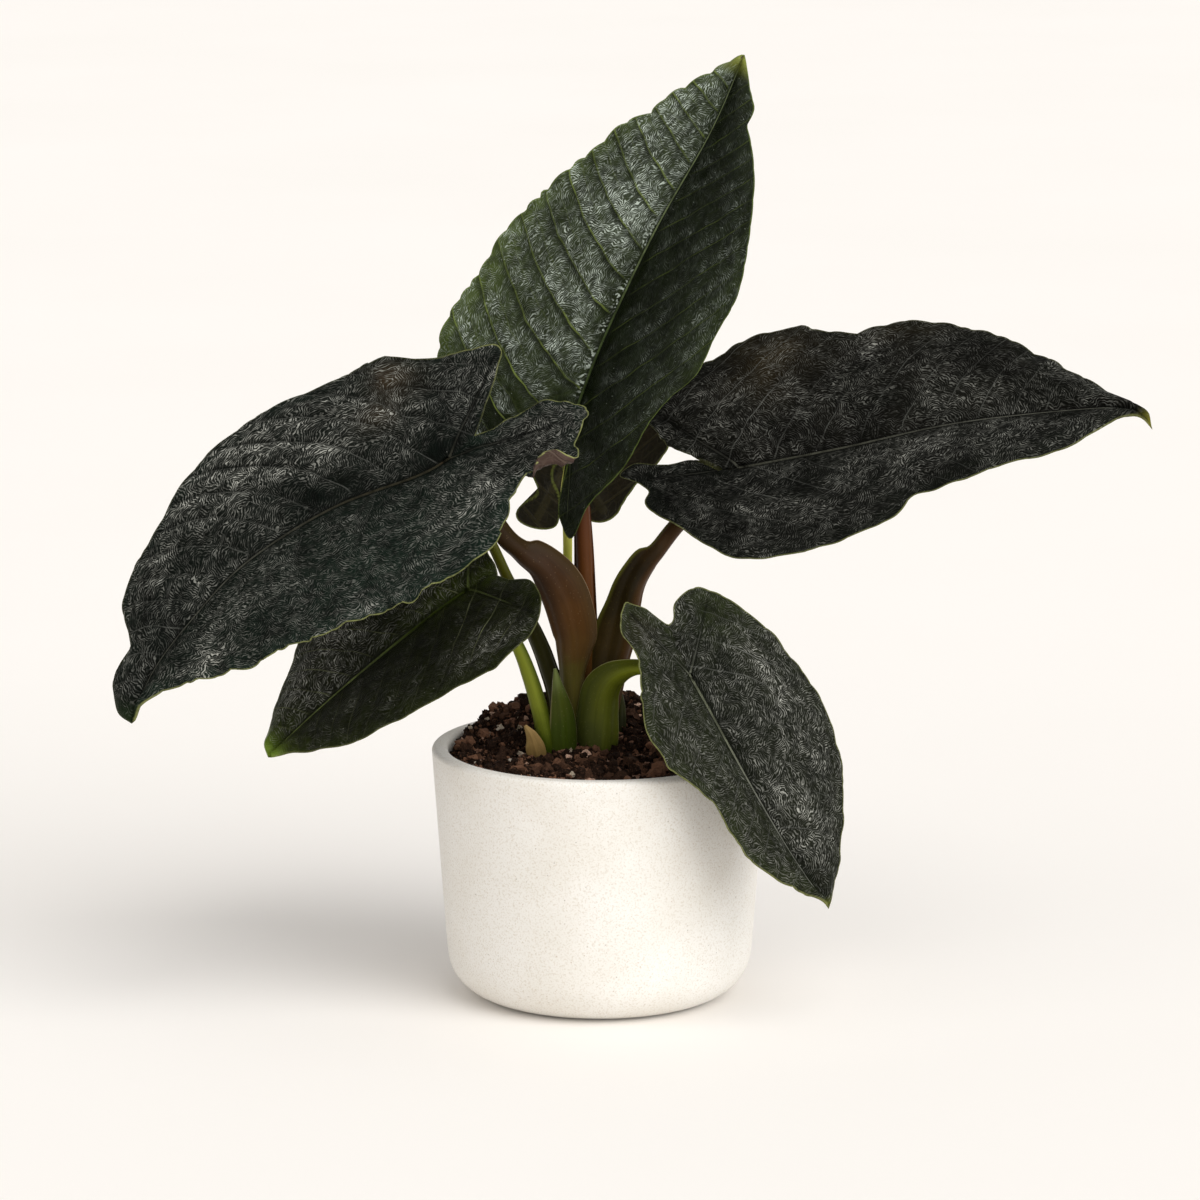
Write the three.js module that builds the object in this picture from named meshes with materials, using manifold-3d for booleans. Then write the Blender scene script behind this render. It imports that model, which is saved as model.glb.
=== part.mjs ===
import * as THREE from "three";
import Module from "manifold-3d";

const wasm = await Module();
wasm.setup();

// A velvet-leaved aroid in a round planter. All sizes are millimetres. X runs to the right as the
// plant is seen from its front, Y to its back and Z up. The origin is the middle of the pot's foot.

const GAP = 0.3;              // clearance between pieces that touch

const POT = {
  rimRadius: 65,
  height: 98,
  wall: 6.2,
  floor: 7,
  flare: 0.071,               // how far the wall leans out for each millimetre of height
  footRadius: 41.3,           // flat disc that the pot stands on
  heelRadius: 18,             // rounding between foot and wall, outside
  heelInside: 12,             // the same rounding inside
  lipRadius: 2,
  facets: 48,
};

const SOIL = {
  level: 94.2,                // surface along the front of the rim
  moundHeight: 17,            // the mix is heaped up behind the stems
  moundCentre: [-4, 27],
  moundSpread: [36, 18],
  collarHeight: 3,            // and a little around their feet
  collarCentre: [-8, -5],
  collarSpread: 20,
  edgeStart: 52,              // beyond this radius the heap falls back to the level
  rings: 7,
};

const RHIZOME = {
  centre: [-8, -2],
  top: 84,
  sideScale: 0.82,            // it is narrower from front to back
  profile: [[6, 58], [11, 61], [14, 68], [17, 75], [19.5, 80], [19.5, 84]],
  facets: 20,
};

const BLADE = { thickness: 1, spokes: 18, rings: 5 };
const STEM = { facets: 12, steps: 13 };

// A blade is drawn flat in two halves and then bent in space. `midrib` runs from the petiole to the
// tip, `face` is where the upper side looks and `fold` tilts a half up from flat, in degrees. An
// outline runs from the tip round to the sinus between the lobes, as [along the midrib, away from
// the midrib]; the lobes lie behind the petiole, so they are negative. `first` is the half on the
// left of a person who looks from the petiole to the tip with the upper side up, and `second` is
// the other. `sinus` is where the lobes part, in the first half's terms. A petiole is a row of
// stations from the rhizome up: [x, y, z, reach to the left, reach to the right, half its depth].
const LEAVES = {
  left: {
    midrib: [
      [-57, -30, 216], [-68.5, -33, 210], [-101, -39, 198.5], [-133, -46, 179], [-154, -52, 157.5],
      [-168, -57, 139], [-176, -61, 120],
    ],
    face: [-0.25, -0.8, 0.55],
    sinus: [-13, -2],
    first: {
      fold: 6,
      outline: [
        [151.5, 4], [132, 21.5], [114.5, 35], [93.5, 43.5], [57.5, 52], [37.5, 53], [20.5, 48.5], [8, 45],
        [0.5, 42], [-12, 28], [-26, 22], [-41, 28.5], [-54.5, 16], [-52, 10.5], [-38.5, 1], [-27, 0.5],
      ],
    },
    second: {
      fold: 6,
      outline: [
        [160.5, 6], [153, 11.5], [147, 13], [138, 12.5], [135.5, 15], [128, 25.5], [117.5, 30.5], [101, 35],
        [80, 44], [59.5, 47.5], [31.5, 48], [1, 50.5], [-10.5, 41.5], [-28.5, 35], [-41, 30.5],
        [-33.5, 21.5], [-24, 12],
      ],
    },
    petiole: [
      [-9, -2, 84.3, 3.8, 3.8, 3.2], [-10.2, -4, 105, 4, 4, 3], [-10.6, -5.5, 125, 4.7, 4.7, 3.2],
      [-9.8, -7, 136, 6.8, 6.8, 3.8], [-9.4, -8, 143.7, 8.6, 8.6, 4], [-12.5, -10, 156.6, 9.1, 9.1, 4],
      [-16.3, -12, 164.9, 8.6, 8.6, 3.8], [-21.6, -14, 171.5, 7.5, 7.5, 3.6],
      [-29.2, -16, 177.3, 5.6, 5.6, 3.4], [-36.4, -20, 184.3, 4.1, 4.1, 3.3],
      [-45.3, -25, 198.8, 3.6, 3.6, 3.2], [-57, -30, 216, 2.4, 2.4, 2.4],
    ],
  },
  right: {
    midrib: [
      [54, 16, 204.5], [93.5, 12, 213], [138.5, 5, 224], [189, -2, 230.5], [203.5, -4, 229.5],
      [211.5, -6, 223],
    ],
    face: [0.05, -0.68, 0.73],
    sinus: [-7, 0],
    first: {
      fold: 6,
      outline: [
        [157.5, 3], [149, 4.5], [140, 10.5], [124, 22.5], [104, 36.5], [79.5, 47.5], [60, 50], [48, 50],
        [35, 56], [25, 58], [11, 56.5], [-7.5, 50], [-22, 46], [-33, 39], [-37, 32], [-33.5, 27.5],
        [-25.5, 14.5], [-18.5, 9.5],
      ],
    },
    second: {
      fold: 6,
      outline: [
        [156, 1], [146, 8.5], [123, 22], [102, 26], [78, 32.5], [68, 33], [59, 41], [43, 48], [12.5, 50],
        [-6.5, 45], [-25.5, 25], [-38, 10], [-36, 4], [-39.5, -1.5], [-48.5, -8.5], [-39, -13],
        [-19.5, -10.5],
      ],
    },
    petiole: [
      [0, 0.5, 84.3, 4.5, 4.5, 3.4], [0.8, 0.5, 105, 6.4, 5.6, 3.6], [3.3, 1, 130, 8, 8, 3.8],
      [5.2, 2, 138, 8.2, 8.2, 4], [6.8, 3, 145, 8.1, 8.1, 4], [8.7, 5, 152, 7.4, 7.4, 3.8],
      [11, 6, 158.6, 7.2, 7.2, 3.6], [14.1, 7.5, 163.8, 6.8, 6.8, 3.4], [19.5, 9, 170.2, 4.6, 4.6, 3.3],
      [23.4, 10, 173.6, 3.6, 3.6, 3.2], [29.2, 12.5, 181.1, 3.2, 3.2, 3], [41, 15, 193.5, 3, 3, 2.8],
      [54, 16, 204.5, 2.2, 2.2, 2.2],
    ],
  },
  top: {
    midrib: [[-10.5, 15, 223], [1.5, 14, 254.5], [21.5, 14, 297], [42.5, 18, 334], [55.5, 24, 363]],
    face: [-0.05, -0.97, 0.15],
    sinus: [-8, 0],
    first: {
      fold: 14,
      outline: [
        [154.5, 2], [142.5, 11], [128, 21.5], [118, 25], [110, 31], [97, 35.5], [81, 43], [66, 49],
        [55, 53], [44, 54], [27, 60.5], [15, 60], [8.5, 58], [-8, 50], [-22, 41], [-33, 30], [-33, 20],
        [-24, 9],
      ],
    },
    second: {
      fold: 32,
      outline: [
        [153.5, 2], [144, 8.5], [136, 14.5], [132, 13.5], [125, 20], [114.5, 29], [92.5, 41.5], [74, 47.5],
        [57.5, 46.5], [40, 46], [26, 39], [12.5, 34], [-7, 30.5], [-27, 21.5], [-42, 19.5], [-35.5, 10],
        [-24, 6.5], [-14, 5],
      ],
    },
    petiole: [
      [-5, 4, 84.3, 4, 4, 3.4], [-4.5, 4, 118.6, 4.7, 4.7, 3.4], [-4.8, 5, 138.2, 4.3, 4.3, 3.2],
      [-5.6, 6.5, 157.7, 4.2, 4.2, 3.2], [-6, 8, 173, 3.8, 3.8, 3.1], [-6.8, 10, 188.5, 3.3, 3.3, 3],
      [-8.3, 13, 203.7, 2.9, 2.9, 2.9], [-10.5, 15, 223, 2.2, 2.2, 2.2],
    ],
  },
  lower_left: {
    midrib: [
      [-50.5, -14, 162.5], [-64.5, -17, 153], [-88.5, -24, 134.5], [-108.5, -28, 117.5],
      [-127, -30, 100],
    ],
    face: [-0.35, -0.62, 0.7],
    sinus: [-12, 4],
    first: {
      fold: 8,
      outline: [
        [87.5, 13.5], [70, 29.5], [53, 36], [30, 44], [13.5, 47.5], [0, 46], [-10, 42.5], [-16.5, 36],
        [-19.5, 30], [-21, 20], [-18, 13.5], [-14.5, 9],
      ],
    },
    second: {
      fold: 8,
      outline: [
        [98, 5.5], [93.5, 9], [83, 16], [74, 21.5], [64, 28.5], [45, 37], [25, 42], [5, 42], [-10, 38],
        [-21, 31], [-24, 22], [-19, 14], [-14.5, 8.5], [-14, 2],
      ],
    },
    petiole: [
      [-19, -8, 84.3, 3.6, 3.6, 3.2], [-20.2, -11.5, 100.4, 3.9, 3.9, 3.4],
      [-22.5, -12, 112.3, 3.4, 3.4, 3.2], [-26.7, -11.5, 127, 3, 3, 2.9],
      [-31.7, -10.5, 139.6, 2.5, 2.5, 2.5], [-39, -10, 151, 2.2, 2.2, 2.2],
      [-50.5, -14, 162.5, 1.6, 1.6, 1.6],
    ],
  },
  lower_right: {
    midrib: [[34.5, -42, 135], [42, -48, 122.5], [57, -56, 96], [73, -60, 69], [87, -62, 48.5]],
    face: [0.4, -0.7, 0.58],
    sinus: [-21, 1],
    first: {
      fold: 8,
      outline: [
        [99, 7], [86.5, 21], [61.5, 37.5], [40, 43], [15.5, 42], [-4.5, 38], [-18, 31.5], [-27.5, 24.5],
        [-30.5, 20.5], [-29.5, 15], [-27, 8], [-24, 5.5],
      ],
    },
    second: {
      fold: 8,
      outline: [
        [95, 4.5], [81.5, 15], [65, 21], [45.5, 23], [37, 27], [27.5, 33], [19, 34], [9.5, 31.5],
        [-1.5, 25], [-13, 20], [-30, 17.5], [-35, 10.5], [-30.5, 6.5], [-28, 2.5],
      ],
    },
    petiole: [
      [-2, -7, 84.3, 6.5, 6.5, 3.6], [-1.3, -10, 102, 8.6, 8.6, 3.8], [-0.2, -10.5, 114, 8.2, 7.6, 3.8],
      [1.5, -12, 122, 8, 6.4, 3.8], [5.5, -16, 128.5, 6, 5, 3.6], [12, -24, 133.3, 3.6, 3.4, 3],
      [20, -33, 135.5, 2.6, 2.6, 2.5], [28.5, -39, 136, 2.2, 2.2, 2.2], [34.5, -42, 135, 1.6, 1.6, 1.6],
    ],
  },
  back: {
    midrib: [[-11.5, 56, 202], [-8.5, 58, 224], [-3, 64, 245], [2, 74, 261.5]],
    face: [0.1, 0.98, 0.05],
    sinus: [-2, -3],
    first: {
      fold: 8,
      outline: [
        [54, 10], [38, 25], [22, 35], [9, 38.5], [3, 36], [-6.5, 28.5], [-17, 23], [-21, 21.5], [-24, 18],
        [-25, 12], [-17, 3],
      ],
    },
    second: {
      fold: 8,
      outline: [
        [54, 9], [38, 20], [22, 25], [8, 22], [-2, 17], [-8.5, 15], [-17.5, 11], [-21, 16], [-26, 19],
        [-28, 18.5], [-30.5, 13.5], [-29, 2], [-16, 2.5], [-10.5, 6], [-5, 6],
      ],
    },
    petiole: [
      [-10, 9, 84.3, 3, 3, 2.8], [-12.4, 10, 110, 2.6, 2.6, 2.6], [-12.6, 12, 137, 2.2, 2.2, 2.2],
      [-12.6, 14, 152, 2, 2, 2], [-12.4, 18, 167.3, 1.8, 1.8, 1.8], [-12.5, 23, 177.8, 1.8, 1.8, 1.8],
      [-13.5, 36, 191.5, 1.7, 1.7, 1.7], [-11.5, 55.5, 202, 1.2, 1.2, 1.2],
    ],
  },
  rear_left: {
    midrib: [[-63.5, 28, 186], [-90.5, 48, 175.5], [-119, 66, 159], [-144, 80, 136]],
    face: [-0.35, 0.45, 0.82],
    sinus: [-8, 0],
    first: {
      fold: 8,
      outline: [
        [94, 9], [76, 21], [54, 31], [30, 36], [5, 35], [-12, 30], [-22, 22], [-20, 13], [-13, 6],
      ],
    },
    second: {
      fold: 8,
      outline: [
        [94, 9], [76, 21], [54, 31], [30, 36], [5, 35], [-12, 30], [-22, 22], [-20, 13], [-13, 6],
      ],
    },
    petiole: [
      [-15.5, 2, 84.3, 3.4, 3.4, 3.2], [-16.1, 2, 113, 3.8, 3.8, 3.2], [-20.3, 3, 129, 3.6, 3.6, 3.1],
      [-25, 5, 140.6, 3.3, 3.3, 3], [-30.8, 7, 151.7, 2.8, 2.8, 2.7], [-35.8, 9, 162.3, 2.2, 2.2, 2.2],
      [-44, 15, 177.7, 2, 2, 2], [-54, 21.5, 184, 1.8, 1.8, 1.8], [-63.5, 28, 186, 1.5, 1.5, 1.5],
    ],
  },
};

// Leafless sheaths around the stems, in the stations of a petiole: centre, left, right, depth.
const SHEATHS = {
  sheath_green: {
    stations: [
      [-14, -10, 84.3, 4, 4, 1.6], [-14.1, -14, 99, 5.4, 5.4, 1.7], [-14.5, -14.6, 112, 4.6, 5, 1.6],
      [-16.4, -14.4, 125, 1.8, 2.2, 1.2], [-17.1, -14, 131, 0.6, 0.6, 0.5],
    ],
    colour: 0x3d5a22,
  },
  sheath_papery: {
    stations: [
      [-22, -13, 86, 2.4, 2.4, 0.8], [-24.4, -17.4, 99, 3.8, 3.8, 0.9],
      [-25.9, -17.6, 104.7, 2.4, 2.6, 0.8], [-28.6, -17.6, 109.4, 0.6, 0.6, 0.4],
    ],
    colour: 0xa58a5c,
  },
  sheath_dark: {
    stations: [
      [4.5, 3, 84.3, 3, 3, 2], [6.5, 3, 101, 3.6, 3.6, 2.2], [7.4, 4, 111, 2.8, 2.8, 1.8],
      [8, 4.4, 118, 0.8, 0.8, 0.6],
    ],
    colour: 0x2a331c,
  },
};

const COLOURS = {
  pot: 0xe9e4da,
  soil: 0x2a1a12,
  rhizome: 0x6b4a33,
  blade: 0x23281f,
  petiole: {
    left: 0x5b3426, right: 0x3b2a1c, top: 0x6a3020, lower_left: 0x6f8a34, lower_right: 0x4c6526,
    back: 0x7f9a3a, rear_left: 0x4c4d24,
  },
};

// Order from the front of the crown to its back: each stem gives way to those before it
const STEM_ORDER = ["lower_left", "lower_right", "left", "right", "rear_left", "top", "back"];

const radians = THREE.MathUtils.degToRad;
const vector = (values) => new THREE.Vector3(...values);

// Closed solid whose skin starts at one point, passes through rings of equal count and ends at
// another point. Seen from the end, the rings run anticlockwise.
function skinSolid(start, rings, end) {
  const count = rings[0].length;
  const points = [start, ...rings.flat(), end];
  const ring = (level, i) => 1 + level * count + (i % count);
  const faces = [];
  for (let i = 0; i < count; i += 1) {
    faces.push(0, ring(0, i + 1), ring(0, i));
    for (let level = 1; level < rings.length; level += 1) {
      const [a, b] = [ring(level - 1, i), ring(level - 1, i + 1)];
      const [c, d] = [ring(level, i), ring(level, i + 1)];
      faces.push(a, b, d, a, d, c);
    }
    faces.push(points.length - 1, ring(rings.length - 1, i), ring(rings.length - 1, i + 1));
  }
  const vertProperties = new Float32Array(points.flatMap((p) => [p.x, p.y, p.z]));
  const triVerts = new Uint32Array(faces);
  return new wasm.Manifold(new wasm.Mesh({ numProp: 3, vertProperties, triVerts }));
}

function geometryOf(solid) {
  const mesh = solid.getMesh();
  const geometry = new THREE.BufferGeometry();
  geometry.setAttribute("position", new THREE.BufferAttribute(mesh.vertProperties, 3));
  geometry.setIndex(new THREE.BufferAttribute(mesh.triVerts, 1));
  geometry.computeVertexNormals();
  return geometry;
}

// A cut may leave a loose sliver behind, which goes with the waste
function largestBody(solid) {
  return solid.decompose().reduce((best, body) => (body.volume() > best.volume() ? body : best));
}

const circle = (radius, z, facets) => Array.from({ length: facets }, (_, i) => {
  const turn = (2 * Math.PI * i) / facets;
  return new THREE.Vector3(radius * Math.cos(turn), radius * Math.sin(turn), z);
});

// Corners [radius, height] along an arc, with angles in degrees from the outward direction
function arc(centreRadius, centreHeight, radius, from, to, steps) {
  return Array.from({ length: steps + 1 }, (_, i) => {
    const turn = radians(from + ((to - from) * i) / steps);
    return [centreRadius + radius * Math.cos(turn), centreHeight + radius * Math.sin(turn)];
  });
}

const outerRadius = (z) => POT.rimRadius - POT.flare * (POT.height - POT.lipRadius - z);
const innerRadius = (z) => outerRadius(z) - POT.wall;

function potSolid() {
  const lean = -THREE.MathUtils.radToDeg(Math.atan(POT.flare));
  const lipHeight = POT.height - POT.lipRadius;
  const insideHeel = POT.floor + POT.heelInside;
  const profile = [
    ...arc(POT.footRadius, POT.heelRadius, POT.heelRadius, -90, lean, 6),
    ...arc(POT.rimRadius - POT.lipRadius, lipHeight, POT.lipRadius, 0, 90, 3),
    ...arc(POT.rimRadius - POT.wall + POT.lipRadius, lipHeight, POT.lipRadius, 90, 180, 3),
    ...arc(innerRadius(insideHeel) - POT.heelInside, insideHeel, POT.heelInside, 0, -90, 3),
  ];
  const rings = profile.map(([radius, z]) => circle(radius, z, POT.facets));
  return skinSolid(new THREE.Vector3(0, 0, 0), rings, new THREE.Vector3(0, 0, POT.floor));
}

const bell = (x, y, centre, spread) => Math.exp(
  -((x - centre[0]) ** 2) / (2 * spread[0] ** 2) - ((y - centre[1]) ** 2) / (2 * spread[1] ** 2),
);

function soilHeight(x, y) {
  const edge = THREE.MathUtils.smoothstep(Math.hypot(x, y), SOIL.edgeStart, innerRadius(SOIL.level));
  const mound = SOIL.moundHeight * bell(x, y, SOIL.moundCentre, SOIL.moundSpread);
  const collar = SOIL.collarHeight * bell(x, y, SOIL.collarCentre, [SOIL.collarSpread, SOIL.collarSpread]);
  return SOIL.level + (mound + collar) * (1 - edge);
}

function soilSolid() {
  const bottom = POT.floor + GAP;
  const insideHeel = POT.floor + POT.heelInside;
  const below = arc(innerRadius(insideHeel) - POT.heelInside, insideHeel, POT.heelInside - GAP, -90, 0, 3);
  const rings = below.map(([radius, z]) => circle(radius, z, POT.facets));
  for (let k = 0; k < SOIL.rings; k += 1) {
    const radius = (innerRadius(SOIL.level) - GAP) * (1 - k / SOIL.rings);
    rings.push(circle(radius, 0, POT.facets).map((p) => p.setZ(soilHeight(p.x, p.y))));
  }
  return skinSolid(new THREE.Vector3(0, 0, bottom), rings, new THREE.Vector3(0, 0, soilHeight(0, 0)));
}

function rhizomeSolid(grow) {
  const [x, y] = RHIZOME.centre;
  const last = RHIZOME.profile.length - 1;
  const rings = RHIZOME.profile.map(([radius, z], level) => {
    const height = z + (level === last ? grow : 0) - (level === 0 ? grow : 0);
    return circle(radius + grow, height, RHIZOME.facets).map((p) => p.set(
      x + p.x,
      y + p.y * RHIZOME.sideScale,
      p.z,
    ));
  });
  const bottom = new THREE.Vector3(x, y, RHIZOME.profile[0][1] - grow);
  return skinSolid(bottom, rings, new THREE.Vector3(x, y, RHIZOME.top + grow));
}

// Stem or sheath along its stations, wider by `grow` all round
function stemSolid(stations, grow) {
  const curveOf = (from) => new THREE.CatmullRomCurve3(
    stations.map((station) => vector(station.slice(from, from + 3))),
    false,
    "catmullrom",
  );
  const path = curveOf(0);
  const widths = curveOf(3);
  const steps = STEM.steps;
  const towardBack = new THREE.Vector3(0, 1, 0);
  const rings = [];
  for (let k = 0; k <= steps; k += 1) {
    const tangent = path.getTangent(k / steps);
    const centre = path.getPoint(k / steps);
    const [left, right, depth] = widths.getPoint(k / steps).toArray();
    const across = new THREE.Vector3().crossVectors(towardBack, tangent).normalize();
    const deep = new THREE.Vector3().crossVectors(tangent, across);
    const endShift = grow * ((k === steps) - (k === 0));
    rings.push(Array.from({ length: STEM.facets }, (_, i) => {
      const turn = (2 * Math.PI * i) / STEM.facets;
      const side = Math.cos(turn) > 0 ? right : left;
      return centre.clone()
        .addScaledVector(tangent, endShift)
        .addScaledVector(across, (side + grow) * Math.cos(turn))
        .addScaledVector(deep, (depth + grow) * Math.sin(turn));
    }));
  }
  const middle = (ring) => ring
    .reduce((sum, point) => sum.add(point), new THREE.Vector3())
    .divideScalar(ring.length);
  return skinSolid(middle(rings[0]), rings, middle(rings[steps]));
}

// Point of a bent blade. `side` is 1 in the first half and -1 in the second, `along` and `away` are
// its place in the flat half, and `lift` raises it off the middle of the blade's thickness.
function bladePoint(leaf, curve, half, side, along, away, lift) {
  const length = curve.getLength();
  const place = THREE.MathUtils.clamp(along / length, 0, 1);
  const tangent = curve.getTangentAt(place);
  const face = vector(leaf.face);
  const normal = face.addScaledVector(tangent, -face.dot(tangent)).normalize();
  const across = new THREE.Vector3().crossVectors(normal, tangent).multiplyScalar(side);
  const tilt = radians(half.fold);
  return curve.getPointAt(place)
    .addScaledVector(tangent, Math.min(along, 0))
    .addScaledVector(across, away * Math.cos(tilt))
    .addScaledVector(normal, away * Math.sin(tilt) + lift);
}

// Blade with `grow` of extra room on both faces and into the sinus, where the petiole passes
function bladeSolid(leaf, grow) {
  const curve = new THREE.CatmullRomCurve3(leaf.midrib.map(vector), false, "catmullrom");
  const outlineOf = (half, side) => {
    const [sinusAlong, sinusAway] = leaf.sinus;
    const corners = [[curve.getLength(), 0], ...half.outline, [sinusAlong, sinusAway * side]];
    const line = new THREE.CatmullRomCurve3(corners.map(([x, y]) => new THREE.Vector3(x, y, 0)));
    return line.getSpacedPoints(BLADE.spokes).map(({ x, y }) => (
      x < 0 ? new THREE.Vector2(x - grow, y - grow) : new THREE.Vector2(x, y)
    ));
  };
  const second = outlineOf(leaf.second, -1).map((p) => [leaf.second, -1, p]);
  const first = outlineOf(leaf.first, 1).map((p) => [leaf.first, 1, p]).reverse();
  const spokes = [...second.slice(0, -1), ...first.slice(0, -1)];
  const ringAt = (share, lift) => spokes.map(([half, side, p]) => (
    bladePoint(leaf, curve, half, side, p.x * share, p.y * share, lift)
  ));
  const shares = Array.from({ length: BLADE.rings }, (_, i) => (i + 1) / BLADE.rings);
  const lift = BLADE.thickness / 2 + grow;
  const rings = [
    ...shares.map((share) => ringAt(share, lift)),
    ...shares.reverse().map((share) => ringAt(share, -lift)),
  ];
  const centre = (height) => bladePoint(leaf, curve, leaf.first, 1, 0, 0, height);
  return skinSolid(centre(lift), rings, centre(-lift));
}

const plant = new THREE.Group();

function addPiece(name, solid, colour, roughness) {
  const material = new THREE.MeshStandardMaterial({ color: colour, roughness, metalness: 0 });
  const mesh = new THREE.Mesh(geometryOf(solid), material);
  mesh.name = name;
  plant.add(mesh);
}

addPiece("pot", potSolid(), COLOURS.pot, 0.7);
addPiece("rhizome", rhizomeSolid(0), COLOURS.rhizome, 0.9);

// The sheaths stand outermost, then come the stems from front to back
const standing = [];
const rhizomeRoom = rhizomeSolid(GAP);
function addStanding(name, stations, cutters, colour) {
  let solid = stemSolid(stations, 0);
  for (const cutter of [rhizomeRoom, ...standing.map((other) => stemSolid(other, GAP)), ...cutters]) {
    solid = solid.subtract(cutter);
  }
  standing.push(stations);
  addPiece(name, largestBody(solid), colour, 0.45);
}

for (const [name, sheath] of Object.entries(SHEATHS)) {
  addStanding(name, sheath.stations, [], sheath.colour);
}
for (const name of STEM_ORDER) {
  const leaf = LEAVES[name];
  addPiece(`blade_${name}`, bladeSolid(leaf, 0), COLOURS.blade, 0.55);
  addStanding(`petiole_${name}`, leaf.petiole, [bladeSolid(leaf, GAP)], COLOURS.petiole[name]);
}

let soil = soilSolid().subtract(rhizomeRoom);
for (const stations of standing) {
  soil = soil.subtract(stemSolid(stations, GAP));
}
addPiece("potting_mix", largestBody(soil), COLOURS.soil, 0.95);

export default plant;
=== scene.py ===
"""A velvet-leaved alocasia in a round speckled pot, on a pale floor.

Lengths in the tables below are millimetres, X to the right, Y to the back and Z up; the scene
itself is in metres. Blades are drawn flat and then bent, so their finish can follow the leaf.
"""
import math
from types import SimpleNamespace

import bmesh
import bpy
import numpy as np
from mathutils import Matrix


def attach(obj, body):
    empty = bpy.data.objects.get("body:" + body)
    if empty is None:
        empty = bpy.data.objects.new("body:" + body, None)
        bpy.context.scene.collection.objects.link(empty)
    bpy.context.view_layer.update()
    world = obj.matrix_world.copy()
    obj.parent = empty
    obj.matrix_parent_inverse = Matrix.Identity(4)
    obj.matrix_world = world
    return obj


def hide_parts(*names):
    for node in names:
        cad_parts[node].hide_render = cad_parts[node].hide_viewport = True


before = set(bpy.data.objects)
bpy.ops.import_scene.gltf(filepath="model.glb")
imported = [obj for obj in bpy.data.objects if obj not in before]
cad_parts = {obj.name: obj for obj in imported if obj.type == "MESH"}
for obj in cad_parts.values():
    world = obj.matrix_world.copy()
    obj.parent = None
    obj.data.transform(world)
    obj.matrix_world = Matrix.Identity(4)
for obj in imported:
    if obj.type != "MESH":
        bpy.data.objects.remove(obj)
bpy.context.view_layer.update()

MM = 0.001
SEED = 7

# Its place is in metres, and it looks down by `dip` degrees
CAMERA = dict(place=(0.0002, -1.9672, 0.5499), dip=11.35, lens=156, sensor=36)

# The pot's wall leans out by `flare` for each millimetre of height
POT = dict(
    rim_radius=65, height=98, wall=6.2, floor=7, flare=0.071, foot_radius=41.3, heel_radius=18,
    heel_inside=12, lip_radius=2, facets=200,
)

# The mix stands `gap` off the pot's wall. Its `lumps` are (height, size), and what is loose on it
# covers a surface that lies `sink` lower.
SOIL = dict(
    level=94.2, bottom=60, gap=0.3, mound_height=17, mound_centre=(-4, 27), mound_spread=(36, 18),
    collar_height=3, collar_centre=(-8, -5), collar_spread=(20, 20), edge_start=52,
    lumps=((0.7, 7), (0.5, 3)), sink=0.8, rings=70, facets=200,
)

# Crumbs vary by `uneven` of their radius, lean over by about `tilt` radians and keep `margin` off
# the pot's wall. The higher `small` is, the fewer are large.
CRUMBS = dict(uneven=0.28, tilt=0.5, margin=2.5, small=2.2)
# `sizes` are the least and the most radius of a crumb, `flat` its height for its width, and `lift`
# how far it is raised for its height
LOOSE = dict(
    crumbs=dict(material="loam", count=1500, sizes=(0.9, 3.2), flat=1, lift=0, detail=2),
    fine_crumbs=dict(material="loam", count=3600, sizes=(0.4, 1.1), flat=1, lift=0.6, detail=1),
    bark_chips=dict(material="bark", count=420, sizes=(0.4, 1.9), flat=0.6, lift=0.7, detail=2),
    white_grains=dict(material="white_grit", count=75, sizes=(0.5, 1.7), flat=0.85, lift=0.8, detail=2),
)

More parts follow.
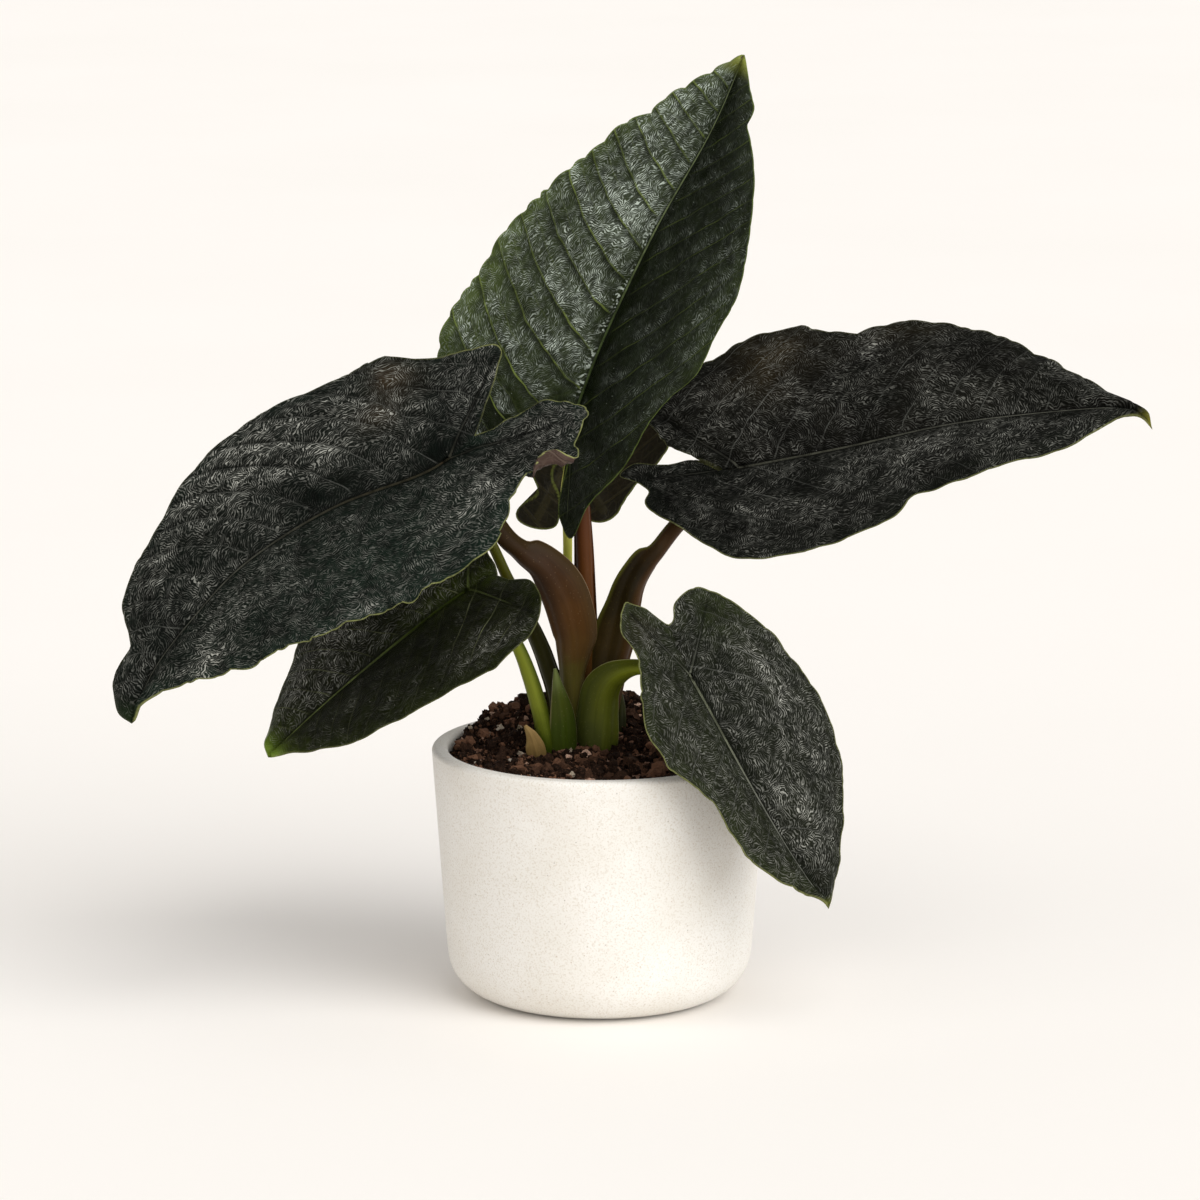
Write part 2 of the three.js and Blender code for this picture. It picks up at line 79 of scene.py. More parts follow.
# A blade is drawn flat, in two halves: the first is on the left of a person who looks from the stalk
# to the tip. Pairs of values are for the first and the second half, except in `sinus` and `mesh`.
# `midrib` runs from the stalk to the tip, `face` is where the upper side looks, `fold` tilts a half
# up from flat, in degrees, and `lobes` is where the rib of a half's rear lobe ends. The outlines
# `first` and `second` run from the tip round to `sinus`, between the lobes, as (along the midrib,
# away from it). `sinus` is in the first half's terms. A blade with no `second` has two equal halves.
#
# Side veins are `gap` apart at the stalk, leave the midrib `lean` forward for each millimetre out
# and lean more by `sweep` as they go on. The blade swells by `quilt` between them and by `arch` from
# the midrib to the margin; `ripple` moves the margin up and down and `crimp` scallops it. `mesh` is
# how many points go round the blade and how many rings of them it has.
LEAVES = {
    "left": dict(
        midrib=[(-57, -30, 216), (-68.5, -33, 210), (-101, -39, 198.5), (-133, -46, 179),
                (-154, -52, 157.5), (-168, -57, 139), (-176, -61, 120)],
        face=(-0.25, -0.8, 0.55), sinus=(-13, -2), fold=(6, 6), lobes=((-50, 13), (-38, 29)),
        first=[(151.5, 4), (132, 21.5), (114.5, 35), (93.5, 43.5), (57.5, 52), (37.5, 53), (20.5, 48.5),
            (8, 46), (-3, 38.5), (-7.5, 34.5), (-11.5, 29.5), (-14.5, 28.5), (-17, 26), (-22.5, 24.5),
            (-31, 26.5), (-41.5, 28.5), (-43, 22), (-51.5, 16), (-54.5, 12), (-50.5, 5.5), (-43.5, 0),
            (-35, -2.5), (-25, -2)],
        second=[(160.5, 6), (153, 11.5), (147, 13), (138, 12.5), (135.5, 15), (128, 25.5),
            (117.5, 30.5), (101, 35), (80, 44), (59.5, 47.5), (31.5, 48), (1, 50.5), (-10.5, 41.5),
            (-28.5, 35), (-39.5, 31), (-39, 27.5), (-33.5, 21.5), (-24, 12.5)],
        gap=18, lean=(0.6, 0.5), sweep=(0.011, 0.014), quilt=(0.5, 1.3), arch=3, ripple=(1.2, 0.5),
        crimp=(1.4, 0.4), mesh=(400, 72), underside="mauve",
    ),
    "right": dict(
        midrib=[(54, 16, 204.5), (93.5, 12, 213), (138.5, 5, 224), (189, -2, 230.5), (203.5, -4, 229.5),
                (211.5, -6, 223)],
        face=(0.05, -0.68, 0.73), sinus=(-7, 0), fold=(6, 6), lobes=((-32, 34), (-36, -3)),
        first=[(157.5, 3), (149, 4.5), (140, 10.5), (124, 22.5), (104, 36.5), (79.5, 47.5), (60, 50),
            (48, 50), (35, 56), (25, 58), (11, 56.5), (-7.5, 50), (-22, 46), (-33, 39), (-37, 32),
            (-33.5, 27.5), (-25.5, 14.5), (-18.5, 9.5)],
        second=[(156, 1), (146, 8.5), (123, 22), (102, 26), (78, 32.5), (68, 33), (59, 41), (43.5, 46),
            (12.5, 50), (-6.5, 45), (-25.5, 25), (-38, 10), (-36, 4), (-39.5, -1.5), (-47.5, -7.5),
            (-41.5, -11.5), (-34.5, -10), (-25.5, -8), (-18.5, -9)],
        gap=19, lean=(0.5, 0.9), sweep=(0.009, 0.016), quilt=(0.7, 0.6), arch=3, ripple=(0.7, 0.5),
        crimp=(1, 0.3), mesh=(400, 64), underside="olive",
    ),
    "top": dict(
        midrib=[(-10.5, 15, 223), (1.5, 14, 254.5), (21.5, 14, 297), (42.5, 18, 334), (55.5, 24, 363)],
        face=(-0.05, -0.97, 0.15), sinus=(-8, 0), fold=(14, 32), lobes=((-27, 28), (-37, 15)),
        first=[(154.5, 2), (142.5, 11), (128, 21.5), (118, 25), (110, 31), (97, 35.5), (81, 43),
            (66, 49), (55, 53), (44, 54), (38.5, 55), (30, 57.5), (21.5, 59.5), (10, 58.5), (-8, 50),
            (-22, 41), (-33, 30), (-33, 20), (-24, 9)],
        second=[(153.5, 2), (144, 8.5), (136, 14.5), (132, 13.5), (125, 20), (114.5, 29), (92.5, 41.5),
            (74, 47.5), (57.5, 46.5), (40, 46), (26, 39), (12.5, 34), (-7, 30.5), (-27, 21.5),
            (-42, 19.5), (-35.5, 10), (-24, 6.5), (-14, 5)],
        gap=17, lean=(0.4, 1.2), sweep=(0.007, 0.006), quilt=(1.6, 1), arch=2.6, ripple=(1.1, 0.4),
        crimp=(1.9, 0.4), mesh=(400, 64), underside="mauve",
    ),
    "lower_left": dict(
        midrib=[(-50.5, -14, 162.5), (-64.5, -17, 153), (-88.5, -24, 134.5), (-108.5, -28, 117.5),
                (-127, -30, 100)],
        face=(-0.35, -0.62, 0.7), sinus=(-12, 4), fold=(8, 8), lobes=((-14, 34), (-18, 26)),
        first=[(87.5, 13.5), (70, 29.5), (53, 36), (30, 44), (13.5, 47.5), (0, 46), (-10, 42.5),
            (-16.5, 36), (-19.5, 30), (-21, 20), (-18, 13.5), (-14.5, 9)],
        second=[(98, 5.5), (93.5, 9), (83, 16), (74, 21.5), (64, 28.5), (45, 37), (25, 42), (5, 42),
            (-10, 38), (-21, 31), (-24, 22), (-19, 14), (-14.5, 8.5), (-14, 2)],
        gap=15, lean=(0.6, 0.6), sweep=(0.012, 0.012), quilt=(0.7, 0.7), arch=2.5, ripple=(0.5, 0.4),
        crimp=(0.3, 0.3), mesh=(280, 56), underside="olive",
    ),
    "lower_right": dict(
        midrib=[(34.5, -42, 135), (42, -48, 122.5), (57, -56, 96), (73, -60, 69), (87, -62, 48.5)],
        face=(0.4, -0.7, 0.58), sinus=(-21, 2), fold=(8, 8), lobes=((-24, 22), (-30, 12)),
        first=[(99, 7), (86.5, 21), (61.5, 37.5), (40, 43), (15.5, 42), (-4.5, 38), (-18, 31.5),
            (-26.5, 25.5), (-30, 21), (-30.3, 17), (-29.5, 13), (-27.5, 8.5), (-23.5, 6.2), (-21.3, 4)],
        second=[(95, 4.5), (81.5, 15), (65, 21), (45.5, 23), (37, 27), (27.5, 33), (19, 34),
            (9.5, 31.5), (-1.5, 25), (-13, 20), (-24, 19.5), (-30, 17.3), (-32.8, 13.6), (-35.2, 10.6),
            (-32, 8.2), (-29, 4), (-25, 0.5)],
        gap=14, lean=(0.6, 0.5), sweep=(0.01, 0.01), quilt=(0.7, 0.7), arch=2.5, ripple=(0.5, 0.9),
        crimp=(0.5, 0.8), mesh=(280, 56), underside="olive",
    ),
    "back": dict(
        midrib=[(-11.5, 56, 202), (-8.5, 58, 224), (-3, 64, 245), (2, 74, 261.5)],
        face=(0.1, 0.98, 0.05), sinus=(-2, -3), fold=(8, 8), lobes=((-20, 16), (-27, 10)),
        first=[(54, 10), (38, 25), (22, 35), (9, 38.5), (3, 36), (-6.5, 28.5), (-17, 23), (-21, 21.5),
            (-24, 18), (-25, 12), (-17, 3)],
        second=[(54, 9), (38, 20), (22, 25), (8, 22), (-2, 17), (-8.5, 15), (-17.5, 11), (-21, 16),
            (-26, 19), (-28, 18.5), (-30.5, 13.5), (-29, 2), (-16, 2.5), (-10.5, 6), (-5, 6)],
        gap=11, lean=(0.5, 0.5), sweep=(0.01, 0.01), quilt=(0.7, 0.7), arch=1.5, ripple=(0.5, 0.5),
        crimp=(0.3, 0.3), mesh=(200, 40), underside="olive",
    ),
    "rear_left": dict(
        midrib=[(-63.5, 28, 186), (-90.5, 48, 175.5), (-119, 66, 159), (-144, 80, 136)],
        face=(-0.35, 0.45, 0.82), sinus=(-8, 0), fold=(8, 8), lobes=((-19, 17), (-19, 17)),
        first=[(94, 9), (76, 21), (54, 31), (30, 36), (5, 35), (-12, 30), (-22, 22), (-20, 13),
            (-13, 6)],
        gap=13, lean=(0.5, 0.5), sweep=(0.01, 0.01), quilt=(1, 1), arch=2, ripple=(0.7, 0.7),
        crimp=(0.6, 0.6), mesh=(200, 48), underside="olive",
    ),
}

# A stalk or sheath is a row of stations from the soil up:
# (x, y, z, reach to the left, reach to the right, half its depth).
# A station with five numbers reaches as far to both sides, and one with four is round. After its
# stations, a stalk has its radius where it passes under the blade.
STALKS = {
    "left": [
        (-9, -2, 84.3, 3.8, 3.2), (-10.2, -4, 105, 4, 3), (-10.6, -5.5, 125, 4.7, 3.2),
        (-9.8, -7, 136, 6.8, 3.8), (-9.4, -8, 143.7, 8.6, 4), (-12.5, -10, 156.6, 9.1, 4),
        (-16.3, -12, 164.9, 8.6, 3.8), (-21.6, -14, 171.5, 6.4, 7.6, 3.7),
        (-27.5, -15.6, 175.6, 4.9, 6.8, 3.6), (-30.6, -16.8, 178.4, 4.3, 4, 3.5),
        (-36.4, -20, 184.3, 3.9, 3.8, 3.4), (-45.3, -25, 198.8, 3.6, 3.2), 2.4,
    ],
    "right": [
        (0, 0.5, 84.3, 4.5, 3.4), (0.8, 0.5, 105, 6.4, 5.6, 3.6), (3.3, 1, 130, 8, 3.8),
        (5.2, 2, 138, 8.2, 4), (6.8, 3, 145, 7.8, 8.1, 4), (8.7, 5, 152, 6.4, 7.4, 3.8),
        (11, 6, 158.6, 6, 6.4, 3.6), (14.1, 7.5, 163.8, 5.8, 5.4, 3.5), (18.4, 8.8, 169, 5.6, 4.4, 3.4),
        (22, 9.6, 172.4, 3.5, 3.2), (29.2, 12.5, 181.1, 3.2, 3), (41, 15, 193.5, 3, 2.8), 2.2,
    ],
    "top": [
        (-5, 4, 84.3, 4, 3.4), (-4.5, 4, 118.6, 4.7, 3.4), (-4.8, 5, 138.2, 4.3, 3.2),
        (-5.6, 6.5, 157.7, 4.2, 3.2), (-6, 8, 173, 3.8, 3.1), (-6.8, 10, 188.5, 3.3, 3),
        (-8.3, 13, 203.7, 2.9), 2.2,
    ],
    "lower_left": [
        (-19, -8, 84.3, 3.6, 3.2), (-20.2, -11.5, 100.4, 3.9, 3.4), (-22.5, -12, 112.3, 3.4, 3.2),
        (-26.7, -11.5, 127, 3, 2.9), (-31.7, -10.5, 139.6, 2.5), (-39, -10, 151, 2.2), 1.6,
    ],
    "lower_right": [
        (-2, -7, 84.3, 6.5, 3.6), (-1.3, -10, 102, 8.6, 3.8), (-0.2, -10.5, 114, 8.2, 7.6, 3.8),
        (1.5, -12, 122, 8, 6.4, 3.8), (5.5, -16, 128.5, 6, 5, 3.6), (12, -24, 133.3, 3.6, 3.4, 3),
        (20, -33, 135.5, 2.6, 2.5), (28.5, -39, 136, 2.2), 1.6,
    ],
    "back": [
        (-10, 9, 84.3, 3, 2.8), (-12.4, 10, 110, 2.6), (-12.6, 12, 137, 2.2), (-12.6, 14, 152, 2),
        (-12.4, 18, 167.3, 1.8), (-12.5, 23, 177.8, 1.8), (-13.5, 36, 191.5, 1.7), 1.2,
    ],
    "rear_left": [
        (-15.5, 2, 84.3, 3.4, 3.2), (-16.1, 2, 113, 3.8, 3.2), (-20.3, 3, 129, 3.6, 3.1),
        (-25, 5, 140.6, 3.3, 3), (-30.8, 7, 151.7, 2.8, 2.7), (-35.8, 9, 162.3, 2.2),
        (-44, 15, 177.7, 2), (-54, 21.5, 184, 1.8), 1.5,
    ],
}

SHEATHS = {
    "green": [
        (-14, -10, 84.3, 4, 1.6), (-14.1, -14, 99, 5.4, 1.7), (-14.5, -14.6, 112, 4.6, 5, 1.6),
        (-16.4, -14.4, 125, 1.8, 2.2, 1.2), (-17.1, -14, 131, 0.6, 0.5),
    ],
    "papery": [
        (-22, -13, 86, 2.4, 0.8), (-24.4, -17.4, 99, 3.8, 0.9), (-25.9, -17.6, 104.7, 2.4, 2.6, 0.8),
        (-28.6, -17.6, 109.4, 0.6, 0.4),
    ],
    "dark": [
        (4.5, 3, 84.3, 3, 2), (6.5, 3, 101, 3.6, 2.2), (7.4, 4, 111, 2.8, 1.8), (8, 4.4, 118, 0.8, 0.6),
    ],
}


# Curves and meshes

# The least spacing of a curve's knots, so that no two coincide
LEAST_KNOT = 1e-4


def spline(points, steps=24, even=False):
    """Points of a Catmull-Rom curve, `steps` to each stretch. `even` suits uneven spacing."""
    p = np.array(points, float)
    p = np.vstack([2 * p[0] - p[1], p, 2 * p[-1] - p[-2]])
    u = np.linspace(0, 1, steps, endpoint=False)[:, None]
    pieces = []
    for a, b, c, d in zip(p, p[1:], p[2:], p[3:]):
        before, here, after = [
            max(math.sqrt(np.linalg.norm(v)), LEAST_KNOT) if even else 1 for v in (b - a, c - b, d - c)
        ]
        start = ((b - a) / before - (c - a) / (before + here) + (c - b) / here) * here
        stop = ((c - b) / here - (d - b) / (here + after) + (d - c) / after) * here
        square = 3 * (c - b) - 2 * start - stop
        cube = 2 * (b - c) + start + stop
        pieces.append(b + start * u + square * u**2 + cube * u**3)
    return np.vstack([*pieces, p[-2:-1]])


def lengths(curve):
    """How far along the curve each of its points lies."""
    return np.concatenate([[0], np.cumsum(np.linalg.norm(np.diff(curve, axis=0), axis=1))])


def sample(values, at, where):
    """Rows of `values`, known at the distances `at`, read at the distances `where`."""
    return np.stack([np.interp(where, at, column) for column in values.T], axis=-1)


def unit(v):
    return v / np.linalg.norm(v, axis=-1, keepdims=True)


def smooth(low, high, value):
    t = np.clip((value - low) / (high - low), 0, 1)
    return t * t * (3 - 2 * t)


def add_object(name, data):
    item = bpy.data.objects.new(name, data)
    bpy.context.scene.collection.objects.link(item)
    return item


def add_piece(name, points, faces, materials, node=None, marks=None, material_of=None):
    """A smooth-shaded mesh from points in millimetres, riding on the object's one body.

    It replaces the CAD's `node`, if one is given. `marks` holds named values for every point and
    `material_of` the number of every face's material.
    """
    mesh = bpy.data.meshes.new(name)
    mesh.from_pydata((np.asarray(points) * MM).tolist(), [], [list(map(int, f)) for f in faces])
    for material in materials:
        mesh.materials.append(material)
    if material_of is not None:
        mesh.polygons.foreach_set("material_index", np.asarray(material_of, np.int32))
    mesh.polygons.foreach_set("use_smooth", np.ones(len(mesh.polygons), bool))
    for key, values in (marks or {}).items():
        layer = mesh.attributes.new(key, "FLOAT_VECTOR", "POINT")
        layer.data.foreach_set("vector", np.asarray(values, np.float32).ravel())
    mesh.update()
    piece = add_object(name, mesh)
    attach(piece, "root")
    if node:
        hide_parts(node)
    return piece


def ring_faces(rings, count, offset=0):
    """Quads between neighbouring closed rings of `count` points."""
    i = np.arange(count)
    j = (i + 1) % count
    quads = np.column_stack([i, j, j + count, i + count])
    return [quad for level in range(rings - 1) for quad in (offset + level * count + quads).tolist()]


def around(radius, height, count):
    """Rings of `count` points about the upright axis, a row for each radius and height."""
    turn = np.linspace(0, 2 * math.pi, count, endpoint=False)
    x, y = radius * np.cos(turn), radius * np.sin(turn)
    return np.stack([x, y, np.broadcast_to(height, x.shape)], axis=-1)


def closed_tube(rings, first, last):
    """Points and faces of a row of rings, shut at its ends by fans round two middle points."""
    levels, count = rings.shape[:2]
    end = (levels - 1) * count
    faces = ring_faces(levels, count)
    for i in range(count):
        j = (i + 1) % count
        faces += [[end + count, j, i], [end + count + 1, end + i, end + j]]
    return np.vstack([rings.reshape(-1, 3), [first, last]]), faces


# Node trees

def colour(code):
    """Linear colour of a display colour such as 0x2B3028."""
    channels = [(code >> shift & 255) / 255 for shift in (16, 8, 0)]
    return tuple(c / 12.92 if c <= 0.04045 else ((c + 0.055) / 1.055) ** 2.4 for c in channels)


class Output:
    """What a node puts out. Sums and products with it are further nodes of its tree."""

    def __init__(self, tree, socket):
        self.tree = tree
        self.socket = socket

    def __add__(self, other):
        return self.tree.math("ADD", self, other)

    def __sub__(self, other):
        return self.tree.math("SUBTRACT", self, other)

    def __mul__(self, other):
        return self.tree.math("MULTIPLY", self, other)

    def __truediv__(self, other):
        return self.tree.math("DIVIDE", self, other)

    def rise(self, low, high, bottom=0.0, top=1.0):
        """Smooth rise from `bottom` to `top` as this goes from low to high."""
        node = self.tree.nodes.new("ShaderNodeMapRange")
        node.interpolation_type = "SMOOTHSTEP"
        return self.tree.fill(node, self, low, high, bottom, top)

    def fall(self, low, high, top=1.0):
        return self.rise(low, high, top, 0.0)


class Tree:
    """Short words for building a material."""

    def __init__(self, name):
        self.material = bpy.data.materials.new(name)
        self.material.use_nodes = True
        self.nodes = self.material.node_tree.nodes
        self.links = self.material.node_tree.links
        self.nodes.clear()

    def set(self, socket, value):
        """Link an output to a socket, or give it a number, a vector or a colour's code."""
        if isinstance(value, Output):
            self.links.new(value.socket, socket)
        elif socket.type == "RGBA":
            socket.default_value = (*colour(value), 1)
        else:
            socket.default_value = value

    def fill(self, node, *values, output=0, **named):
        """Set a node's inputs, in their order or by name, and give one of its outputs."""
        for key, value in [*enumerate(values), *named.items()]:
            self.set(node.inputs[key], value)
        return Output(self, node.outputs[output])

    def math(self, operation, *values):
        node = self.nodes.new("ShaderNodeMath")
        node.operation = operation
        return self.fill(node, *values)

    def vector(self, operation, *values):
        node = self.nodes.new("ShaderNodeVectorMath")
        node.operation = operation
        return self.fill(node, *values)

    def stretch(self, vector, factors):
        return self.vector("MULTIPLY", vector, factors)

    def mix(self, share, first, second):
        node = self.nodes.new("ShaderNodeMix")
        node.data_type = "RGBA"
        for key, value in ((0, share), (6, first), (7, second)):
            self.set(node.inputs[key], value)
        return Output(self, node.outputs[2])

    def coats(self, base, *coats):
        """A base colour under coats of (share, colour), the last one on top."""
        for share, paint in coats:
            base = self.mix(share, base, paint)
        return base

    def attribute(self, name):
        node = self.nodes.new("ShaderNodeAttribute")
        node.attribute_name = name
        return Output(self, node.outputs["Vector"])

    def parts(self, vector):
        node = self.nodes.new("ShaderNodeSeparateXYZ")
        self.set(node.inputs[0], vector)
        return [Output(self, socket) for socket in node.outputs]

    def noise(self, vector, size, detail=2.0, distortion=0.0, output=0):
        """Noise about 0.5 whose lumps are `size` wide in the vector's own unit."""
        node = self.nodes.new("ShaderNodeTexNoise")
        return self.fill(
            node, output=output, Vector=vector, Scale=1 / size, Detail=detail, Distortion=distortion
        )

    def cells(self, vector, size, feature="F1"):
        """Cells about `size` wide: distance from the middle or edge, random vector and middle."""
        node = self.nodes.new("ShaderNodeTexVoronoi")
        node.feature = feature
        self.fill(node, Vector=vector, Scale=1 / size)
        return [Output(self, socket) for socket in node.outputs][:3]

    def place(self):
        """Where the surface is, in millimetres."""
        node = self.nodes.new("ShaderNodeTexCoord")
        return self.stretch(Output(self, node.outputs["Object"]), (1 / MM, 1 / MM, 1 / MM))

    def finish(self, base, roughness, relief=None, **inputs):
        """The material, from its colour, its relief in millimetres and the shader's other inputs."""
        shader = self.nodes.new("ShaderNodeBsdfPrincipled")
        if relief:
            bump = self.nodes.new("ShaderNodeBump")
            inputs["Normal"] = self.fill(bump, Distance=MM, Height=relief)
        inputs.update(Base_Color=base, Roughness=roughness)
        for key, value in inputs.items():
            self.set(shader.inputs[key.replace("_", " ")], value)
        output = self.nodes.new("ShaderNodeOutputMaterial")
        self.links.new(shader.outputs[0], output.inputs[0])
        return self.material


# Blades

BLADE_THICKNESS = 0.6
# Radius of a main rib under the blade, and depth of the groove over it, at its start and its end
RIB_RADIUS = (1.7, 0.35)
GROOVE_DEPTH = (1.1, 0.5)
GROOVE_WIDTH = 2.4
# Where along the midrib a lobe's rib would be as thick as it is at its start
LOBE_START = 0.35
# How far from a rib and from the margin the swelling between side veins is full
QUILT_FROM = dict(rib=9, margin=10)
# Share by which side veins stand closer at the tip, and where their count starts in each half
VEIN_NARROWING = 0.45
VEIN_START = (0.3, 0.75)
# How far in from the margin its ripple reaches, and how far round its waves go on by a radian
RIPPLE = dict(reach=9, wave=4.1, small_wave=2.3, drift=17)
# Least and most width of the scallops, least and most height as a share of `crimp`, how many are drawn
# for each half, and how far from the tip and from the sinus they are full
SCALLOPS = dict(width=(4, 12), height=(0.4, 1), count=80, full_from=(12, 20))
# How much of the margin has a say in which way the blade's nearest edge lies
MARGIN_REACH = 2.5
# How many corners before and after a corner of the outline tell its direction
HEADING_SPAN = 6
# A lip of the margin that curls up and over, about a place in the first half
CURL = dict(leaf="left", at=(-31.5, 27), reach=11, width=9, radius=1.3, turn=2.75)

# How much painted sheen, green or brown a blade's upper side has, how pale its rim, how strong the
# painted highlights on its pleats' crests and the painted shade in their troughs are, and how plainly
# its side veins show: a pair for the two halves, then patches of more or less as (along, off the
# midrib, reach along, reach off it, amount). A place off the midrib is above 0 in the first half and
# below 0 in the second. The silver tone is partly the leaf's own silvery colour and mostly painted
# sheen and highlights: patches with more of it are painted highlights, with less of it painted shade.
PLAIN = dict(painted_sheen=[(0.25, 0.25)], green=[(0.2, 0.2)], rim=[(0.5, 0.5)], vein=[(0.25, 0.25)])
TONES = {
    "left": dict(
        painted_sheen=[(0.24, 0.27), (66, -30, 32, 12, 0.35), (20, -14, 14, 8, 0.2), (5, -4, 16, 7, -0.3),
            (46, -6, 16, 6, -0.3), (0, 22, 16, 8, 0.25), (-36, 10, 12, 8, 0.2), (-30, -22, 10, 4, 0.35),
            (130, 20, 24, 7, 0.6), (64, 49, 30, 4, 0.35)],
        green=[(0.4, 0.2), (40, 34, 40, 14, 0.4), (-30, 14, 20, 18, -0.3)],
        brown=[(0, 0), (3, -40, 12, 9, 0.8), (19, -26, 8, 6, 0.5)],
        rim=[(0.9, 0.15), (-35, -25, 22, 16, 0.9)],
        painted_pleat_light=[(0.05, 0.2), (72, -34, 40, 14, 0.45)],
        vein=[(0.1, 0.28)],
    ),
    "right": dict(
        painted_sheen=[(0.18, 0.16), (70, -9, 35, 7, 0.5), (112, -12, 20, 7, 0.35), (57, 42, 10, 8, 0.35),
            (38, 22, 12, 8, 0.25), (61, -36, 14, 10, -0.1), (-10, -20, 16, 14, 0.15)],
        brown=[(0.05, 0), (18, 44, 16, 14, 0.8), (70, 46, 22, 6, 0.4)],
        vein=[(0.25, 0.15), (8, 26, 16, 24, 0.3), (10, -16, 22, 14, 0.35)],
        green=[(0.1, 0.15)], rim=[(0.25, 0.6)], painted_pleat_light=[(0.12, 0.08)],
    ),
    "top": dict(
        painted_sheen=[(0.37, 0.045), (85, 9, 12, 8, 0.45), (66, 14, 16, 10, 0.4), (46, 14, 10, 7, 0.35),
            (27, 9, 12, 7, 0.5), (115, 16, 26, 12, 0.25), (-9, 30, 14, 12, -0.42), (10, 9, 12, 8, -0.3),
            (50, 2, 40, 5, -0.3), (20, 42, 26, 14, -0.12), (60, -40, 40, 8, 0.06),
            (2, 24, 16, 20, -0.16)],
        green=[(0.46, 0.1), (-14, 30, 10, 8, -0.36), (15, 54, 25, 14, 0.6), (50, 50, 45, 9, 0.4),
            (60, -42, 30, 12, 0.2)],
        painted_pleat_light=[(0.6, 0.12), (50, 16, 45, 16, 0.4)],
        vein=[(0.6, 0.2), (8, 34, 24, 24, 0.35)],
        rim=[(0.7, 0.6)],
    ),
    "lower_left": dict(
        painted_sheen=[(0.05, 0.22), (62, -14, 20, 10, 0.45), (6, 36, 14, 5, 0.4), (25, -25, 20, 12, 0.15),
            (-8, 24, 12, 10, -0.04)],
        green=[(0.12, 0.1), (96, 0, 12, 10, 0.6), (6, 0, 20, 7, 0.6)],
        vein=[(0.14, 0.4), (6, 22, 8, 18, 0.7)],
        rim=[(0.4, 0.4)], painted_pleat_light=[(0.1, 0.15)],
    ),
    "lower_right": dict(
        painted_sheen=[(0.32, 0.22), (30, 24, 26, 12, 0.3), (66, 8, 14, 8, 0.3), (-18, -9, 12, 7, 0.15),
            (-20, 20, 14, 10, -0.25), (2, 12, 7, 12, -0.15)],
        green=[(0.15, 0.35), (-16, 22, 12, 10, 0.5)],
        brown=[(0, 0), (-24, -12, 8, 8, 0.5)],
        vein=[(0.2, 0.2), (4, 22, 10, 24, 0.5)],
        rim=[(0.7, 0.8)], painted_pleat_light=[(0.08, 0.04)],
    ),
    "back": dict(PLAIN, painted_pleat_light=[(0.1, 0.1)]),
    "rear_left": dict(PLAIN, painted_pleat_light=[(0.2, 0.2)]),
}


def tones(name, flat, side, kinds):
    """The named tones, as columns, at flat places (along, off the midrib) of a blade."""
    columns = []
    for kind in kinds:
        halves, *patches = TONES[name].get(kind, [(0, 0)])
        amount = np.where(side > 0, *halves)
        for along, off, reach_along, reach_off, more in patches:
            far = ((flat[:, 0] - along) / reach_along) ** 2 + ((flat[:, 1] - off) / reach_off) ** 2
            amount = amount + more * np.exp(-far)
        columns.append(np.clip(amount, 0, 1))
    return np.column_stack(columns)


def bend(leaf, rib, flat, side, lift):
    """Places in space of flat places on a blade. `side` is 1 in the first half, -1 in the second."""
    along, off = flat.T
    reach = lengths(rib)
    where = np.clip(along, 0, reach[-1])
    tangent = unit(sample(np.gradient(rib, reach, axis=0), reach, where))
    face = np.array(leaf["face"], float)
    normal = unit(face - (tangent @ face)[..., None] * tangent)
    tilt = np.radians(np.where(side > 0, *leaf["fold"]))
    return (
        sample(rib, reach, where)
        + tangent * np.minimum(along, 0)[..., None]
        + np.cross(normal, tangent) * (off * np.cos(tilt))[..., None]
        + normal * (off * side * np.sin(tilt) + lift)[..., None]
    )


def blade_outline(leaf, length, count, rng):
    """Corners (along, off the midrib) of a finely scalloped outline, `count` to a half, and sides."""
    outlines = leaf["first"], leaf.get("second", leaf["first"])
    loops = []
    for half, side in ((1, -1), (0, 1)):
        sinus = (leaf["sinus"][0], leaf["sinus"][1] * side)
        line = spline([(length, 0), *outlines[half], sinus], even=True)
        reach = lengths(line)
        where = np.linspace(0, reach[-1], count + 1)
        where = where[1:] if side > 0 else where[:-1]
        points = sample(line, reach, where)
        points[1:-1] = (points[:-2] + 2 * points[1:-1] + points[2:]) / 4
        heading = unit(sample(np.gradient(line, reach, axis=0), reach, where))
        outward = np.column_stack([heading[:, 1], -heading[:, 0]])
        joints = np.cumsum(rng.uniform(*SCALLOPS["width"], SCALLOPS["count"]))
        number = np.interp(where, joints, np.arange(SCALLOPS["count"]))
        height = np.interp(where, joints, rng.uniform(*SCALLOPS["height"], SCALLOPS["count"]))
        bulge = height * (np.abs(np.sin(np.pi * number)) ** 0.6 - 0.6)
        from_tip, from_sinus = SCALLOPS["full_from"]
        fade = smooth(0, from_tip, where) * smooth(0, from_sinus, reach[-1] - where)
        points = points + outward * (leaf["crimp"][half] * bulge * fade)[:, None]
        loops.append(points[::-side] * (1, side))
    return np.vstack(loops), np.repeat([-1, 1], count)


def curl_width(name, corners):
    """How wide the curled lip is at corners (along, off the midrib) of the outline."""
    if name != CURL["leaf"]:
        return np.zeros(len(corners))
    far = np.linalg.norm(corners - CURL["at"], axis=1)
    return CURL["width"] * (1 - smooth(0.2 * CURL["reach"], CURL["reach"], far))


def curled(past, depth):
    """Where a place `past` the fold ends up: how far out and how far up."""
    turn = np.minimum(past / CURL["radius"], CURL["turn"])
    rest = past - CURL["radius"] * turn
    out = (CURL["radius"] + depth) * np.sin(turn) + rest * np.cos(turn)
    up = CURL["radius"] - (CURL["radius"] + depth) * np.cos(turn) + rest * np.sin(turn)
    return out, up + depth


